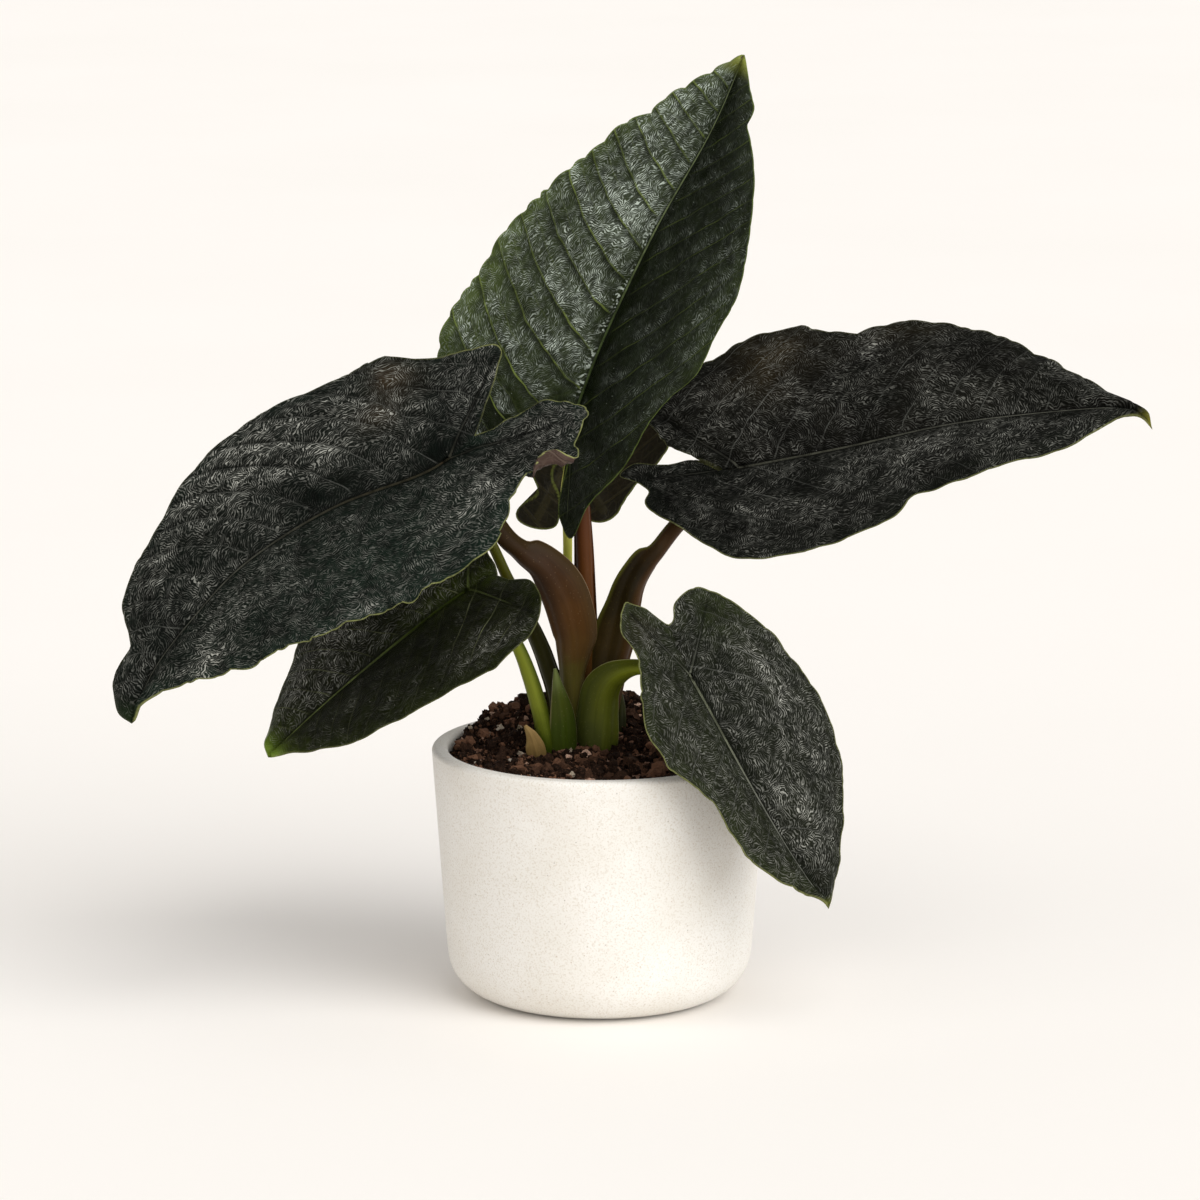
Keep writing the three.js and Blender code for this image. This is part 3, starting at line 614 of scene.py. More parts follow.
def find_edge(at, loop, outward, lip):
    """Note how far off each place's nearest margin is, how far round the blade and which way.

    Where the margin curls, note how wide the lip is and how far past its fold the place lies.
    """
    squares = [((loop - place) ** 2).sum(axis=1) for place in at.flat]
    nearest = np.array([square.argmin() for square in squares])
    at.margin = np.linalg.norm(loop[nearest] - at.flat, axis=1)
    at.round = lengths(np.vstack([loop, loop[:1]]))[nearest]
    pull = np.array([np.exp((square.min() - square) / MARGIN_REACH**2) for square in squares])
    pull /= pull.sum(axis=1, keepdims=True)
    at.ahead = unit(pull @ outward)
    at.lip = (pull @ lip)[:, 0]
    at.past = np.clip(at.lip - ((pull @ loop - at.flat) * at.ahead).sum(axis=1), 0, at.lip)


def find_veins(at, leaf, length):
    """Note the number of the side vein, counted on between two, and how far apart they are."""
    lean = np.where(at.first, *leaf["lean"]) + np.where(at.first, *leaf["sweep"]) * at.out
    start = np.clip(at.along - at.out * lean, -length, 0.95 * length)
    narrowing = VEIN_NARROWING / length
    at.gap = leaf["gap"] * (1 - narrowing * start)
    at.vein = np.where(at.first, *VEIN_START) - np.log(at.gap / leaf["gap"]) / (narrowing * leaf["gap"])


def find_ribs(at, leaf, length):
    """Note the distance to the midrib or a lobe's rib, and how far along that rib, from 0 to 1."""
    at.rib_gap = np.where(at.along > 0, at.out, np.hypot(at.along, at.out))
    at.rib_place = np.clip(at.along / length, 0, 1)
    lobe = np.where(at.first[:, None], *leaf["lobes"]).T
    share = np.clip((at.along * lobe[0] + at.away * lobe[1]) / (lobe**2).sum(axis=0), 0, 1)
    lobe_gap = np.hypot(at.along - share * lobe[0], at.away - share * lobe[1])
    closer = lobe_gap < at.rib_gap
    at.rib_gap = np.where(closer, lobe_gap, at.rib_gap)
    at.rib_place = np.where(closer, LOBE_START + (1 - LOBE_START) * share, at.rib_place)


def blade_relief(at, leaf):
    """Height of the upper side over the bent sheet.

    The blade swells between its side veins and arches between midrib and margin. A groove lies over
    each main rib, and the margin ripples.
    """
    pillow = np.where(at.first, *leaf["quilt"]) * (np.abs(np.sin(np.pi * at.vein)) ** 0.7 - 0.55)
    pillow *= smooth(0, QUILT_FROM["rib"], at.rib_gap) * smooth(0, QUILT_FROM["margin"], at.margin)
    arch = leaf["arch"] * np.sin(np.pi * at.beside) ** 1.2 * smooth(-30, 20, at.along)
    groove = np.interp(at.rib_place, (0, 1), GROOVE_DEPTH) * np.exp(-((at.rib_gap / GROOVE_WIDTH) ** 2))
    waves = np.sin(at.round / RIPPLE["wave"] + 2 * np.sin(at.round / RIPPLE["drift"]))
    waves += 0.6 * np.sin(at.round / RIPPLE["small_wave"])
    ripple = np.where(at.first, *leaf["ripple"]) * smooth(0, 14, np.hypot(at.along, at.away))
    ripple *= (1 - smooth(0, 0.4 * CURL["width"], at.lip)) * (1 - smooth(0, RIPPLE["reach"], at.margin))
    return arch + pillow - groove + ripple * waves


def blade(name, materials):
    leaf = LEAVES[name]
    spokes, rings = leaf["mesh"]
    rng = np.random.default_rng(SEED + sum(map(ord, name)))
    rib = spline(leaf["midrib"], 40)
    length = lengths(rib)[-1]
    corners, sides = blade_outline(leaf, length, spokes // 2, rng)
    heading = unit(np.roll(corners, -HEADING_SPAN, axis=0) - np.roll(corners, HEADING_SPAN, axis=0))
    outward = np.column_stack([-heading[:, 1], heading[:, 0]])
    lip = curl_width(name, corners)[:, None]
    loop = corners + lip * outward

    # What is known of each place on the flat blade
    shares = np.linspace(0, 1, rings + 1)[1:, None, None]
    at = SimpleNamespace(flat=np.vstack([[0, 0], (shares * loop).reshape(-1, 2)]))
    at.side = np.concatenate([[1], np.tile(sides, rings)])
    at.first = at.side > 0
    at.along, at.away = at.flat[:, 0], at.flat[:, 1] * at.side
    at.out = np.maximum(at.away, 0)
    find_edge(at, loop, outward, lip)
    find_veins(at, leaf, length)
    find_ribs(at, leaf, length)
    at.beside = at.out / (at.out + at.margin + 1e-6)

    lift = blade_relief(at, leaf)
    rib_radius = np.maximum(RIB_RADIUS[0] * (1 - at.rib_place) ** 0.8, RIB_RADIUS[1])
    bulge = np.sqrt(np.maximum(rib_radius**2 - at.rib_gap**2, 0)) * smooth(0, 3, at.margin)
    thickness = BLADE_THICKNESS * (0.4 + 0.6 * smooth(0, 1.5, at.margin))

    def skin(depth):
        """The blade's surface at a depth below its upper side."""
        out, up = curled(at.past, depth)
        place = at.flat + at.ahead * (out - at.past)[:, None]
        return bend(leaf, rib, place, at.side, lift + up - depth)

    points = np.vstack([skin(0), skin(thickness + bulge)])

    # A fan round the junction and the quads beyond it, for both sides, and the edge between them
    under = len(at.flat)
    j = np.arange(spokes)
    k = (j + 1) % spokes
    fan = np.column_stack([np.zeros(spokes, int), 1 + k, 1 + j])
    quads = np.array(ring_faces(rings, spokes, 1))
    rim = 1 + (rings - 1) * spokes + np.column_stack([under + j, under + k, k, j])
    faces = [*fan, *quads[:, ::-1], *(fan[:, ::-1] + under), *(quads + under), *rim]
    material_of = np.repeat([0, 1, 0], [spokes + len(quads), spokes + len(quads), spokes])
    marks = {
        "flat": np.column_stack([at.flat, at.margin]),
        "veins": np.column_stack([at.vein, at.gap, at.beside]),
        "ribs": np.column_stack([at.rib_gap, at.rib_place, at.along / length]),
        "tones": tones(name, at.flat, at.side, ("painted_sheen", "green", "brown")),
        "rim_pleat_light_vein": tones(name, at.flat, at.side, ("rim", "painted_pleat_light", "vein")),
    }
    marks = {key: np.vstack([value, value]) for key, value in marks.items()}
    add_piece(f"leaf_{name}", points, faces, materials, f"blade_{name}", marks, material_of)


def blade_patterns(tree):
    """The places, ribs and side veins that both sides of a leaf use."""
    flat = tree.attribute("flat")
    vein, gap, beside = tree.parts(tree.attribute("veins"))
    rib_gap, rib_place, onward = tree.parts(tree.attribute("ribs"))
    wavering = tree.math("MULTIPLY_ADD", tree.noise(flat, 14, 1) - 0.5, 0.22, vein)
    return SimpleNamespace(
        flat=flat, margin=tree.parts(flat)[2], beside=beside, rib_gap=rib_gap, rib_place=rib_place,
        onward=onward, after_vein=tree.math("FRACT", wavering),
        vein_gap=tree.math("PINGPONG", wavering, 0.5) * gap,
        middle_gap=tree.math("PINGPONG", wavering + 0.5, 0.5) * gap,
    )


def strokes(tree, place, spacing, patch):
    """Fine ridges across the side veins, in patches that each turn their own way, from -1 to 1."""
    most_turn, bow, drift = 2.2, 0.07, 5
    along, off, _ = tree.parts(place)
    joined = tree.nodes.new("ShaderNodeCombineXYZ")
    folded = tree.fill(joined, along, tree.math("ABSOLUTE", off), tree.math("SIGN", off) * patch)
    shift = tree.noise(place, drift, output="Color")
    warped = tree.vector("MULTIPLY_ADD", shift, (drift, drift, 0), folded)
    _, draw, middle = tree.cells(warped, patch)
    x, y, _ = tree.parts(tree.vector("SUBTRACT", warped, middle))
    turn = tree.parts(draw)[0] * most_turn
    cosine, sine = tree.math("COSINE", turn), tree.math("SINE", turn)
    run = x * cosine + y * sine
    cross = y * cosine - x * sine
    return tree.math("SINE", (run + cross * cross * bow) * (2 * math.pi / spacing))


def painted_glints(tree, p):
    """Painted glints: highlights scattered beside the midrib, in the first half of a blade and not near its
    tip.
    """
    along, off, _ = tree.parts(p.flat)
    glints = tree.noise(tree.stretch(p.flat, (1.4, 0.8, 1)), 1.5, 1).rise(0.5, 0.62)
    strip = off.rise(0.5, 1) * off.fall(2, 4.5)
    stretch = along.rise(4, 12) * along.fall(70, 95)
    return glints * strip * stretch * tree.noise(p.flat, 9, 1).rise(0.4, 0.55)


def upper_material(name, look):
    tree = Tree(name)
    p = blade_patterns(tree)
    painted_sheen_tone, green_tone, brown_tone = tree.parts(tree.attribute("tones"))
    rim_tone, painted_pleat_light_tone, vein_tone = tree.parts(tree.attribute("rim_pleat_light_vein"))

    def noise(size, detail, distortion=0.0):
        return tree.noise(p.flat, size, detail, distortion)

    # Painted sheen: broken strokes and grain of silver that stand for the velvet's sheen and
    # highlights, and small pale specks
    ridge = strokes(tree, p.flat, look["stroke_gap"], look["whorl"])
    patches = noise(2.4, 2)
    fine = noise(0.7, 3, 0.6)
    cloud = noise(20, 3).rise(0.35, 0.7)
    hatch = ridge.rise(-0.1, 0.8) * (noise(2, 4).rise(0.4, 0.62) * 0.86 + 0.14)
    distance, draw, _ = tree.cells(p.flat, 3.4)
    specks = distance.fall(0.04, 0.09) * tree.parts(draw)[0].rise(0.5, 0.6)

    # Thin side veins, the fainter ones between them, main ribs, a painted highlight on each pleat's
    # crest, and painted shade in its trough and in the groove over a main rib
    vein = p.vein_gap.fall(look["vein_width"] * 0.35, look["vein_width"])
    vein = vein * p.beside.rise(0.02, 0.1) * cloud.rise(0.3, 0.55, 0.4)
    between = p.middle_gap.fall(0.15, 0.5) * p.beside.rise(0.3, 0.6)
    from_rib = p.rib_gap / p.rib_place.rise(0, 1, look["rib_width"], look["rib_width"] * 0.35)
    rib = from_rib.fall(0.55, 1)
    groove = from_rib.fall(0.8, 3.4)
    crest_highlight = p.after_vein.rise(0.02, 0.08) * p.after_vein.fall(0.2, 0.6) * p.beside.rise(0.03, 0.2)
    painted_hollow_shade = tree.math("MAXIMUM", p.after_vein.rise(0.74, 0.97) * (painted_pleat_light_tone + 0.15), groove)

    # Where the painted sheen lies: more on the painted crest highlights, less in the painted shade
    streak = tree.noise(tree.stretch(p.flat, (0.5, 1, 1)), 6, 3).rise(0.36, 0.64, 0.45, 1.3)
    swell = noise(24, 2).rise(0.36, 0.64, 1 - look["swell"], 1 + look["swell"])
    share = painted_sheen_tone + crest_highlight * painted_pleat_light_tone * noise(13, 2).rise(0.4, 0.58)
    share = share * painted_hollow_shade.rise(0, 1, 1, 0.2) * streak * swell
    # Strength of the painted sheen: its strokes, its grain and an even veil of it everywhere
    painted_sheen = hatch * 1.05 + fine.rise(0.55, 0.72) * 0.18 + look["even_painted_sheen"]

    greener = p.margin.rise(0.5, 8, 1.5, 0.7) * noise(5, 3).rise(0.35, 0.6, 0.5)
    worn = tree.parts(p.flat)[0].rise(-4, 0, 0.3) * noise(7, 2).rise(0.35, 0.6, 0.55)
    ribbed = tree.mix(p.rib_place.rise(0.2, 0.6), look["rib"], look["rib_end"])
    base = tree.coats(
        look["deep"],
        (cloud, look["flush"]),
        (brown_tone * (cloud * 0.65 + 0.35), look["brown"]),
        (green_tone * greener, look["green"]),
        # Painted shade in the pleats' troughs and over the main ribs
        (painted_hollow_shade * 0.5, look["deep"]),
        # Painted sheen and highlights
        (tree.math("MINIMUM", painted_sheen * share, 0.9), look["painted_sheen"]),
        (specks * 0.4, look["painted_sheen"]),
        (between * vein_tone * 0.15, look["vein"]),
        (vein * vein_tone, look["vein"]),
        (rib * worn * look["rib_share"], ribbed),
    )
    # Painted glints: highlights beside the midrib
    if "painted_glints" in look:
        base = tree.mix(painted_glints(tree, p) * look["painted_glints"], base, look["painted_sheen"])
    base = tree.coats(
        base,
        (p.onward.rise(look["tip_from"], 1, 0, p.margin.rise(0, 6, 0.95, 0.5)), look["tip"]),
        (rim_tone * p.margin.fall(0.25, 0.7) * patches.rise(0.3, 0.6, 0.6), look["rim"]),
    )
    relief = ridge * look["ridge_height"] + fine * 0.16 + patches * 0.25
    relief = relief + noise(8, 1) * look["blister"]
    relief = relief - vein * 0.3 + rib * 0.25 - groove * 0.25 - between * 0.12
    roughness = share * -look["shine"] + look["roughness"]
    return tree.finish(base, roughness, relief, Specular_IOR_Level=look["gloss"])


def under_material(name, ground, dusk, veins, rim):
    tree = Tree(name)
    p = blade_patterns(tree)
    vein = p.vein_gap.fall(0.4, 1.1) * p.beside.rise(0.02, 0.1)
    middle = p.middle_gap.fall(0.2, 0.6)
    net = tree.cells(p.flat, 3.2, "DISTANCE_TO_EDGE")[0].fall(0.02, 0.16)
    base = tree.coats(
        ground,
        (tree.noise(p.flat, 16, 3).rise(0.3, 0.7), dusk),
        (net * 0.2, veins),
        (middle * 0.3, veins),
        (tree.math("MAXIMUM", vein, p.rib_gap.fall(1.2, 2)) * 0.75, veins),
        (p.margin.fall(0.3, 1), rim),
    )
    relief = vein * 0.35 + net * 0.12 + tree.noise(p.flat, 0.8, 3, 0.4) * 0.1 + middle * 0.12
    return tree.finish(base, 0.55, relief, Specular_IOR_Level=0.2, Sheen_Weight=0.05, Sheen_Roughness=0.5)


# The upper side's colours and textures. A leaf's own look says where it differs from this one.
# Its palest colour is that of the painted sheen and highlights, a small even share of that painted
# sheen lies everywhere, and the top leaf has painted glints beside its midrib.
VELVET = dict(
    deep=0x050504, flush=0x0C0C0A, green=0x141C10, painted_sheen=0xA4A49B, brown=0x3A2C1C, vein=0x6E6F69,
    rib=0x5A5A46, rib_end=0x86877C, rim=0x7C7F4E, tip=0x3E4A18, tip_from=0.93, vein_width=0.5,
    rib_share=0.5, rib_width=0.7, swell=0.3, even_painted_sheen=0.02, ridge_height=0.07, blister=1.5,
    roughness=0.42, shine=0.05, gloss=0.02, whorl=7, stroke_gap=0.9,
)
LOOKS = {
    "left": dict(VELVET, green=0x12231A, rib=0x403C2E, rib_end=0x5E5E54, tip=0x1E2A16),
    "right": dict(
        VELVET, brown=0x2E2410, rib=0x5C5C50, rib_end=0x6C6C62, tip=0x84802F, tip_from=0.94, swell=0.5,
    ),
    "top": dict(
        VELVET, deep=0x040702, flush=0x0A1006, green=0x3A461C, painted_sheen=0xB8C2B6, vein=0x6C7A3C,
        rib=0x4A5832, rib_end=0x76825A, rim=0x6A7A3A, tip=0x848A3A, even_painted_sheen=0.05, stroke_gap=0.8,
        vein_width=0.6, rib_share=0.75, painted_glints=0.85, roughness=0.36, shine=0.16, gloss=0.08,
    ),
    "lower_left": dict(
        VELVET, deep=0x060602, flush=0x0E0F05, green=0x3E4A12, vein=0x6E7252, rib=0x36420F,
        rib_end=0x7A8650, tip=0x6A8426, tip_from=0.9, rib_share=0.7, rib_width=0.9, roughness=0.36,
        shine=0.1, gloss=0.05,
    ),
    "lower_right": dict(
        VELVET, deep=0x0A0B08, flush=0x14150F, green=0x2C3418, rib=0x7A7D68, tip=0x646A2A,
        tip_from=0.95, rib_share=0.6,
    ),
}
UNDERSIDES = {
    "mauve": dict(ground=0x38281F, dusk=0x44322B, veins=0x5C4C40, rim=0x8A8C55),
    "olive": dict(ground=0x1C1908, dusk=0x261F0C, veins=0x38331A, rim=0x6C7434),
}


def make_blades():
    undersides = {key: under_material(f"underside_{key}", **look) for key, look in UNDERSIDES.items()}
    for name, leaf in LEAVES.items():
        upper = upper_material(f"blade_{name}", LOOKS.get(name, VELVET))
        blade(name, [upper, undersides[leaf["underside"]]])


# Stalks and sheaths

STALK_FACETS = 56
STALK_STEPS = 110
STALK_SHADE = 0x191610
# How far from a stalk's thick part the sheet beside it is swept back by the amount of its `wing`
WING_REACH = 8
# How far a stalk's end runs on under the blade, how far it lies below the upper side at both ends
# of that stretch (beyond its radius in the first case), and its last radius
STALK_END = dict(reach=9, cover=2.2, depth=3.2, radius=1.5)


def station(x, y, z, *reaches):
    """A whole station from one that leaves out what repeats."""
    right = reaches[1] if len(reaches) == 3 else reaches[0]
    return x, y, z, reaches[0], right, reaches[-1]


def stalk(node, stations, look):
    """A stalk or sheath along its stations.

    A look's `wing` holds the side of the thick part, from -1 for the left to 1 for the right, half
    the thickness of the sheet beside it and how far back the sheet is at WING_REACH.
    """
    values = np.array([station(*row) for row in stations], float)
    path = spline(values[:, :3], 40)
    widths = spline(values[:, 3:], 40)
    reach = lengths(path)
    where = np.linspace(0, reach[-1], STALK_STEPS)
    centre = sample(path, reach, where)
    tangent = unit(np.gradient(centre, axis=0))
    left, right, depth = sample(widths, reach, where).T[..., None]
    across = unit(np.cross(np.array([0.0, 1, 0]), tangent))
    deep = np.cross(tangent, across)
    turn = np.linspace(0, 2 * math.pi, STALK_FACETS, endpoint=False)
    c, s = np.cos(turn), np.sin(turn)
    sideways = np.where(c > 0, right, left) * c
    radius = np.minimum(depth, (left + right) / 2)
    core, sheet, wrap = look.get("wing", (0, 0, 0))
    middle = core * (np.where(core > 0, right, left) - radius)
    thick = np.sqrt(np.maximum(radius**2 - (sideways - middle) ** 2, 0))
    thin = np.minimum(sheet, radius) * np.abs(s)
    inward = np.sign(s) * np.cbrt(thick**3 + thin**3)
    inward += wrap * ((sideways - middle) / WING_REACH) ** 2
    rings = centre[:, None] + across[:, None] * sideways[..., None] + deep[:, None] * inward[..., None]
    points, faces = closed_tube(rings, centre[0], centre[-1])
    marks = np.stack(np.broadcast_arrays(centre[:, 2:], c, s), axis=-1).reshape(-1, 3)
    marks = np.vstack([marks, [[centre[0, 2], 0, 0], [centre[-1, 2], 0, 0]]])
    material = stalk_material(f"{node}_skin", look)
    add_piece(f"{node}_fine", points, faces, [material], node, {"stem": marks})


def stalk_material(name, look):
    """Colours by height, in `stops` of (height, colour), and by place across the stalk, whose `sides` hold
    the stalk's own colours and painted light and shade.
    """
    tree = Tree(name)
    stem = tree.attribute("stem")
    height, across, _ = tree.parts(stem)
    place = tree.place()
    streaks = tree.noise(tree.stretch(stem, (0.03, 3, 3)), 0.35, 3)
    wander = height + (tree.noise(place, 9, 2) - 0.5) * 14
    stops = look["stops"]
    base = tree.coats(
        stops[0][1],
        *((wander.rise(low, high), paint) for (low, _), (high, paint) in zip(stops, stops[1:])),
        *((across.fall(full, none, share), paint) for full, none, paint, share in look.get("sides", ())),
    )
    # A pale line along both edges: partly a sheath's own pale margin, partly a painted highlight along the
    # stalk's edge
    rim = tree.math("ABSOLUTE", across).rise(0.975, 0.998)
    base = tree.coats(
        base,
        (streaks.rise(0.4, 0.75, 0, 0.35), tree.mix(0.45, base, STALK_SHADE)),
        (rim * look["edge_share"], look["edge"]),
        (tree.cells(place, 1.6)[0].fall(0.1, 0.2) * 0.12, look["edge"]),
    )
    relief = streaks * 0.08 + tree.noise(place, 0.7, 2) * 0.05
    return tree.finish(base, look.get("roughness", 0.42), relief, Specular_IOR_Level=0.09)


# `sides` are (place of full colour, place of none, colour, share); a place is -1 at the left edge and
# 1 at the right. They are partly the stalks' own colours and partly painted light and shade, such as a
# lit margin.
STALK_LOOKS = {
    "left": dict(
        stops=[(104, 0x4A481C), (125, 0x554E20), (137, 0x513A1A), (150, 0x4A3015), (170, 0x35210F),
               (185, 0x2E200F)],
        sides=[(1, 0.3, 0x35290F, 0.6)],
        edge=0x9A8060, edge_share=0.5, wing=(-0.6, 2.7, 1.6),
    ),
    "right": dict(
        stops=[(118, 0x30280F), (135, 0x362A12), (150, 0x241C08), (165, 0x1E1607), (178, 0x3E2B15),
               (205, 0x40301A)],
        sides=[(-1, -0.7, 0x5A5A22, 0.8), (1, 0.2, 0x4E3216, 0.9)],
        edge=0x6A6428, edge_share=0.5, wing=(0.8, 1.6, 1.2),
    ),
    "top": dict(
        stops=[(100, 0x463614), (150, 0x583414), (190, 0x4E2A12), (220, 0x38200C)],
        sides=[(-1, -0.2, 0x2C180A, 0.8), (1, 0.5, 0x4E2C16, 0.5)],
        edge=0x8A5A3A, edge_share=0.4,
    ),
    "lower_left": dict(
        stops=[(96, 0x36440A), (108, 0x5E6818), (122, 0x7E8628), (150, 0x828A2A), (165, 0x626A2A)],
        sides=[(1, 0.1, 0x2E3A06, 0.8)],
        edge=0x9AA048, edge_share=0.3,
    ),
    "lower_right": dict(
        stops=[(94, 0x5E6438), (100, 0x4C5222), (112, 0x5C6220), (126, 0x666C1E), (137, 0x727A18)],
        sides=[(-0.7, 0, 0x2A300E, 0.65), (0.5, 0.1, 0x646C1C, 0.6)],
        edge=0xA09E6A, edge_share=0.6, wing=(0.6, 2, 1.5),
    ),
    "back": dict(
        stops=[(96, 0x626E1E), (150, 0xC4C64E), (200, 0xC0BE5C)], edge=0xC8C86A, edge_share=0.3,
    ),
    "rear_left": dict(
        stops=[(96, 0x3C3A12), (125, 0x2E2C0A), (150, 0x2C2A08), (166, 0x4C4C0C), (180, 0x4E501E)],
        sides=[(-1, -0.5, 0x4A4824, 0.6)],
        edge=0x605E28, edge_share=0.4,
    ),
}
SHEATH_LOOKS = {
    "green": dict(
        stops=[(95, 0x3E4A18), (105, 0x3A480E), (118, 0x454E16), (130, 0x6A7440)],
        sides=[(-1, -0.8, 0x9A9068, 0.7), (1, 0.3, 0x28340A, 0.5)],
        edge=0xB0A080, edge_share=0.5, wing=(0, 1.2, 2.5),
    ),
    "papery": dict(
        stops=[(90, 0x6E5C30), (100, 0x8A7042), (109, 0xA08454)], edge=0xC0A67A, edge_share=0.5,
        roughness=0.6, wing=(0, 0.6, 3),
    ),
    "dark": dict(
        stops=[(92, 0x32281A), (102, 0x24260A), (116, 0x34360F)], edge=0x5A5A3A, edge_share=0.3,
        wing=(0, 1.2, 1.5),
    ),
}


def under_blade(name):
    """Stations of a stalk whose end passes under the blade and into its midrib."""
    leaf = LEAVES[name]
    *stations, radius = STALKS[name]
    flat = np.array([(0.0, 0.0), (STALK_END["reach"], 0.0)])
    depth = np.array([radius + STALK_END["cover"], STALK_END["depth"]])
    near, far = bend(leaf, spline(leaf["midrib"], 40), flat, np.ones(2), -depth)
    return [*stations, (*near, radius), (*far, STALK_END["radius"])]


def make_stalks():
    rows = [(f"petiole_{name}", under_blade(name), look) for name, look in STALK_LOOKS.items()]
    rows += [(f"sheath_{name}", SHEATHS[name], look) for name, look in SHEATH_LOOKS.items()]
    for node, stations, look in rows:
        stalk(node, stations, look)


# Pot

def outer_radius(z):
    return POT["rim_radius"] - POT["flare"] * (POT["height"] - POT["lip_radius"] - z)


def inner_radius(z):
    return outer_radius(z) - POT["wall"]


def arc(centre_radius, centre_height, radius, start, stop, steps):
    turns = np.radians(np.linspace(start, stop, steps))
    return np.column_stack([centre_radius + radius * np.cos(turns), centre_height + radius * np.sin(turns)])


# Specks in the glaze: how far apart they are, their radius in those terms, how plain and which colour
SPECKS = (
    (1.8, 0.16, 0.5, 0xB5A690), (3.8, 0.09, 0.6, 0x968B7E), (1.1, 0.22, 0.4, 0xC9BCA8),
    (3.1, 0.09, 0.5, 0xAC8468),
)


def pot_material():
    tree = Tree("stoneware")
    place = tree.place()
    grit = tree.noise(place, 1.1, 4)
    base = tree.coats(
        0xE8E4DC,
        (tree.noise(place, 30, 3).rise(0.3, 0.7), 0xEEEBE5),
        (tree.noise(place, 0.7, 4).rise(0.48, 0.7) * 0.6, 0xD0C6B6),
    )
    for size, width, share, paint in SPECKS:
        distance, draw, _ = tree.cells(place, size)
        chosen = tree.parts(draw)[0].rise(0.45, 0.5)
        base = tree.mix(distance.fall(width * 0.5, width, share) * chosen, base, paint)
    pits = tree.cells(place, 3.1)[0].fall(0.06, 0.12)
    relief = grit * 0.1 + tree.noise(place, 6, 2) * 0.15 - pits * 0.05
    return tree.finish(base, grit.rise(0.3, 0.7, 0.6, 0.72), relief, Specular_IOR_Level=0.4)


def make_pot():
    lean = -math.degrees(math.atan(POT["flare"]))
    lip = POT["height"] - POT["lip_radius"]
    inside = POT["floor"] + POT["heel_inside"]
    # Rings on the straight stretches, a little off the rounds, keep the shading even
    wall_out = np.linspace(POT["heel_radius"] + 6, lip - 4, 12)
    wall_in = np.linspace(lip - 4, inside + 4, 10)
    profile = np.vstack([
        [(20, 0), (38, 0)],
        arc(POT["foot_radius"], POT["heel_radius"], POT["heel_radius"], -90, lean, 20),
        np.column_stack([outer_radius(wall_out), wall_out]),
        arc(POT["rim_radius"] - POT["lip_radius"], lip, POT["lip_radius"], 0, 90, 10),
        arc(POT["rim_radius"] - POT["wall"] + POT["lip_radius"], lip, POT["lip_radius"], 90, 180, 10),
        np.column_stack([inner_radius(wall_in), wall_in]),
        arc(inner_radius(inside) - POT["heel_inside"], inside, POT["heel_inside"], 0, -90, 10),
    ])
    rings = around(profile[:, :1], profile[:, 1:], POT["facets"])
    points, faces = closed_tube(rings, (0, 0, 0), (0, 0, POT["floor"]))
    add_piece("stoneware_pot", points, faces, [pot_material()], "pot")


# Potting mix

def bell(x, y, centre, spread):
    return np.exp(-(((x - centre[0]) / spread[0]) ** 2 + ((y - centre[1]) / spread[1]) ** 2) / 2)


def soil_height(x, y):
    edge = smooth(SOIL["edge_start"], inner_radius(SOIL["level"]), np.hypot(x, y))
    mound = SOIL["mound_height"] * bell(x, y, SOIL["mound_centre"], SOIL["mound_spread"])
    collar = SOIL["collar_height"] * bell(x, y, SOIL["collar_centre"], SOIL["collar_spread"])
    return SOIL["level"] + (mound + collar) * (1 - edge)


def lumpy(x, y, rng, size, count=24):
    """Random smooth lumps about `size` across, between about -1 and 1."""
    turn = rng.uniform(0, 2 * math.pi, count)
    wave = 2 * math.pi / (size * rng.uniform(0.7, 1.6, count))
    start = rng.uniform(0, 2 * math.pi, count)
    x_waves = np.multiply.outer(x, wave * np.cos(turn))
    y_waves = np.multiply.outer(y, wave * np.sin(turn))
    return np.sin(x_waves + y_waves + start).sum(axis=-1) / math.sqrt(count)


# Dark and light colour, and the size of the lumps in millimetres
SOIL_LOOKS = dict(
    loam=(0x030100, 0x785642, 2.0), bark=(0x6E4C3A, 0xD2AE98, 1.5), white_grit=(0xB4A48E, 0xEADFD0, 1.0)
)


def soil_material(name, dark, light, size):
    tree = Tree(name)
    place = tree.place()
    tone = tree.parts(tree.attribute("tone"))[0]
    lumps = tree.noise(place, size, 4)
    base = tree.coats(
        dark,
        (lumps * 0.15 + tone.rise(0.5, 1), light),
        (tree.noise(place, size * 0.3, 3).rise(0.5, 0.75, 0, 0.4), light),
    )
    relief = lumps * 0.8 + tree.noise(place, 0.4, 3) * 0.45
    return tree.finish(base, 0.85, relief, Specular_IOR_Level=0.1)


def make_soil():
    rng = np.random.default_rng(SEED)
    materials = {kind: soil_material(kind, *look) for kind, look in SOIL_LOOKS.items()}
    radius = np.linspace(inner_radius(SOIL["level"]) - SOIL["gap"], 0.5, SOIL["rings"])[:, None]
    rings = around(np.vstack([radius[:1], radius]), SOIL["bottom"], SOIL["facets"])
    x, y = rings[1:, :, 0], rings[1:, :, 1]
    rings[1:, :, 2] = soil_height(x, y) - SOIL["sink"]
    for height, size in SOIL["lumps"]:
        rings[1:, :, 2] += height * lumpy(x, y, rng, size)
    points, faces = closed_tube(rings, (0, 0, SOIL["bottom"]), (0, 0, soil_height(0, 0)))
    marks = {"tone": np.outer(rng.uniform(0, 1, len(points)), (1, 0, 0))}
    add_piece("potting_bed", points, faces, [materials["loam"]], "potting_mix", marks)
    for name, row in LOOSE.items():
        scatter(name, materials, rng, **row)


def crumb_form(detail):
    """Points and triangles of a ball: 12 corners at detail 1 and 42 at detail 2."""
    work = bmesh.new()
    bmesh.ops.create_icosphere(work, subdivisions=detail, radius=1)
    work.verts.index_update()
    points = np.array([v.co[:] for v in work.verts])
    tris = np.array([[v.index for v in face.verts] for face in work.faces])
    work.free()
    return points, tris


